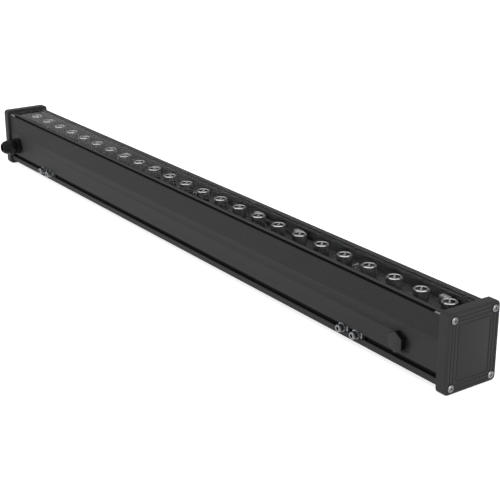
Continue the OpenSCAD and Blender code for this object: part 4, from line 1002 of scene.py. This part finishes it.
def addVentCap():
    # a six-cornered cap with rounded corners, a face painted grey as a painted reflection, and vents under its
    # edge
    look = ventCapSet
    cap = prism(6, look["across"], look["low"], look["top"])
    cap = cutAway(cap, prism(64, look["hollow"], look["hollowLow"], look["hollowTop"]))
    for turned in look["grooves"]:
        cap = cutAway(cap, move(block(look["groove"], (0, 0, look["hollowLow"])), spin(turned)))
    upright = [edge for edge in cap.edges if abs((edge.verts[0].co - edge.verts[1].co).normalized().z) > 0.99
               and math.hypot(*edge.verts[0].co.xy) > look["across"] * 0.55 * mm]
    bevelEdges(cap, upright, look["corner"], 4)
    rim = [edge for edge in cap.edges
           if all(corner.co.z > (look["top"] - 0.01) * mm for corner in edge.verts)]
    bevelEdges(cap, rim, look["rim"], 3)
    # the top face gets the painted reflection, the rest stays black
    paint(cap, lambda middle, normal: 0 if normal.z > 0.8 and middle.z > 5 else 1)
    finishPiece("ventCap", move(cap, onFront(*ventPlace)), ("ventFaceReflection", "blackNylon"), "vent_cap")


addFrontRings()
addVentCap()
print("gland and vent done")


# capacitors and choke of the driver

# where each can stands, half its width and its height
capacitorSet = ((-357, 0, 9, 30), (-222, -9, 6.5, 22), (-222, 9, 6.5, 22))
chokeSet = {"x": -389, "z": 23.9, "ring": 9, "bar": 3.1, "loop": 3.5, "wire": 0.45, "turns": 30,
            "foot": (12, 14, 3), "footEdge": 0.5}


def capacitor(half, height):
    # an aluminium can in a sleeve, pinched near its foot, with a scored top
    can = turn([(0, 0.3), (half - 0.8, 0), (half, 0.6), (half, 2.6), (half * 0.9, 3.4), (half, 4.2),
                (half, height - 1.0), (half - 0.9, height - 0.3), (half - 1.2, height - 0.45),
                (0, height - 0.45)])
    for turned in (0, 90):
        can = cutAway(can, move(block((half * 1.3, 0.5, 1), (0, 0, height - 0.7)), spin(turned)))
    paint(can, lambda middle, normal: 1 if middle.z > height - 0.8 and middle.xy.length < half - 1.3 else 0)
    return soften(can, 0.12, angle=40)


def addCapacitors():
    cans = [move(capacitor(half, height), shift(x, y, driverBoardTop)) for x, y, half, height in capacitorSet]
    finishPiece("driverCapacitors", gather(*cans), ("capacitorSleeve", "drawnAluminium"), "driver_capacitors")


def addChoke():
    # copper turns on a painted ring that stands on a foot
    look = chokeSet
    core = paint(torus(look["ring"], look["bar"], 20), lambda middle, normal: 1)
    loop = paint(torus(look["loop"], look["wire"], 8, steps=20), lambda middle, normal: 2)
    around = [Matrix.Rotation(math.tau * i / look["turns"], 4, "Z") @ shift(look["ring"], 0, 0)
              @ spin(90, "X") for i in range(look["turns"])]
    winding = move(gather(core, copies(loop, around)), shift(look["x"], 0, look["z"]) @ spin(90, "Y"))
    foot = soften(block(look["foot"], (look["x"], 0, driverBoardTop)), look["footEdge"])
    finishPiece("driverChoke", gather(foot, winding), ("blackNylon", "ferrite", "copperWire"), "driver_choke")


addCapacitors()
addChoke()
print("driver parts done")


# a pale floor that glows a little for the camera, so that its shadow stays soft

floorSet = {"size": 6, "below": 0.0002, "colour": (0.93, 0.93, 0.93, 1), "glow": 0.68}


def buildFloor(look):
    mesh = bmesh.new()
    bmesh.ops.create_grid(mesh, x_segments=8, y_segments=8, size=look["size"])
    data = bpy.data.meshes.new("floor")
    mesh.to_mesh(data)
    mesh.free()
    data.transform(Matrix.Translation((0, 0, cadBox[0][2] - look["below"])))
    floor = bpy.data.objects.new("floor", data)
    scene.collection.objects.link(floor)
    material, tree, out = newMaterial("paleFloor")
    pale = addNode(tree, "ShaderNodeBsdfDiffuse", Color=look["colour"])
    glow = addNode(tree, "ShaderNodeEmission", Color=(1, 1, 1, 1), Strength=look["glow"])
    both = tree.nodes.new("ShaderNodeAddShader")
    tree.links.new(pale.outputs[0], both.inputs[0])
    tree.links.new(glow.outputs[0], both.inputs[1])
    mixed = addShaderMix(tree, seenRays(tree), pale.outputs[0], both.outputs[0])
    tree.links.new(mixed, out.inputs["Surface"])
    data.materials.append(material)


buildFloor(floorSet)

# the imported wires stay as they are, with a finish of their own

wireFinish = {"live_wire": "brownWire", "return_wire": "blackWire", "earth_wire": "earthWire",
              "joining_wires": "blackWire"}
for nodeName, finishName in wireFinish.items():
    finishNode(nodeName, made[finishName])
print("floor and wires done")
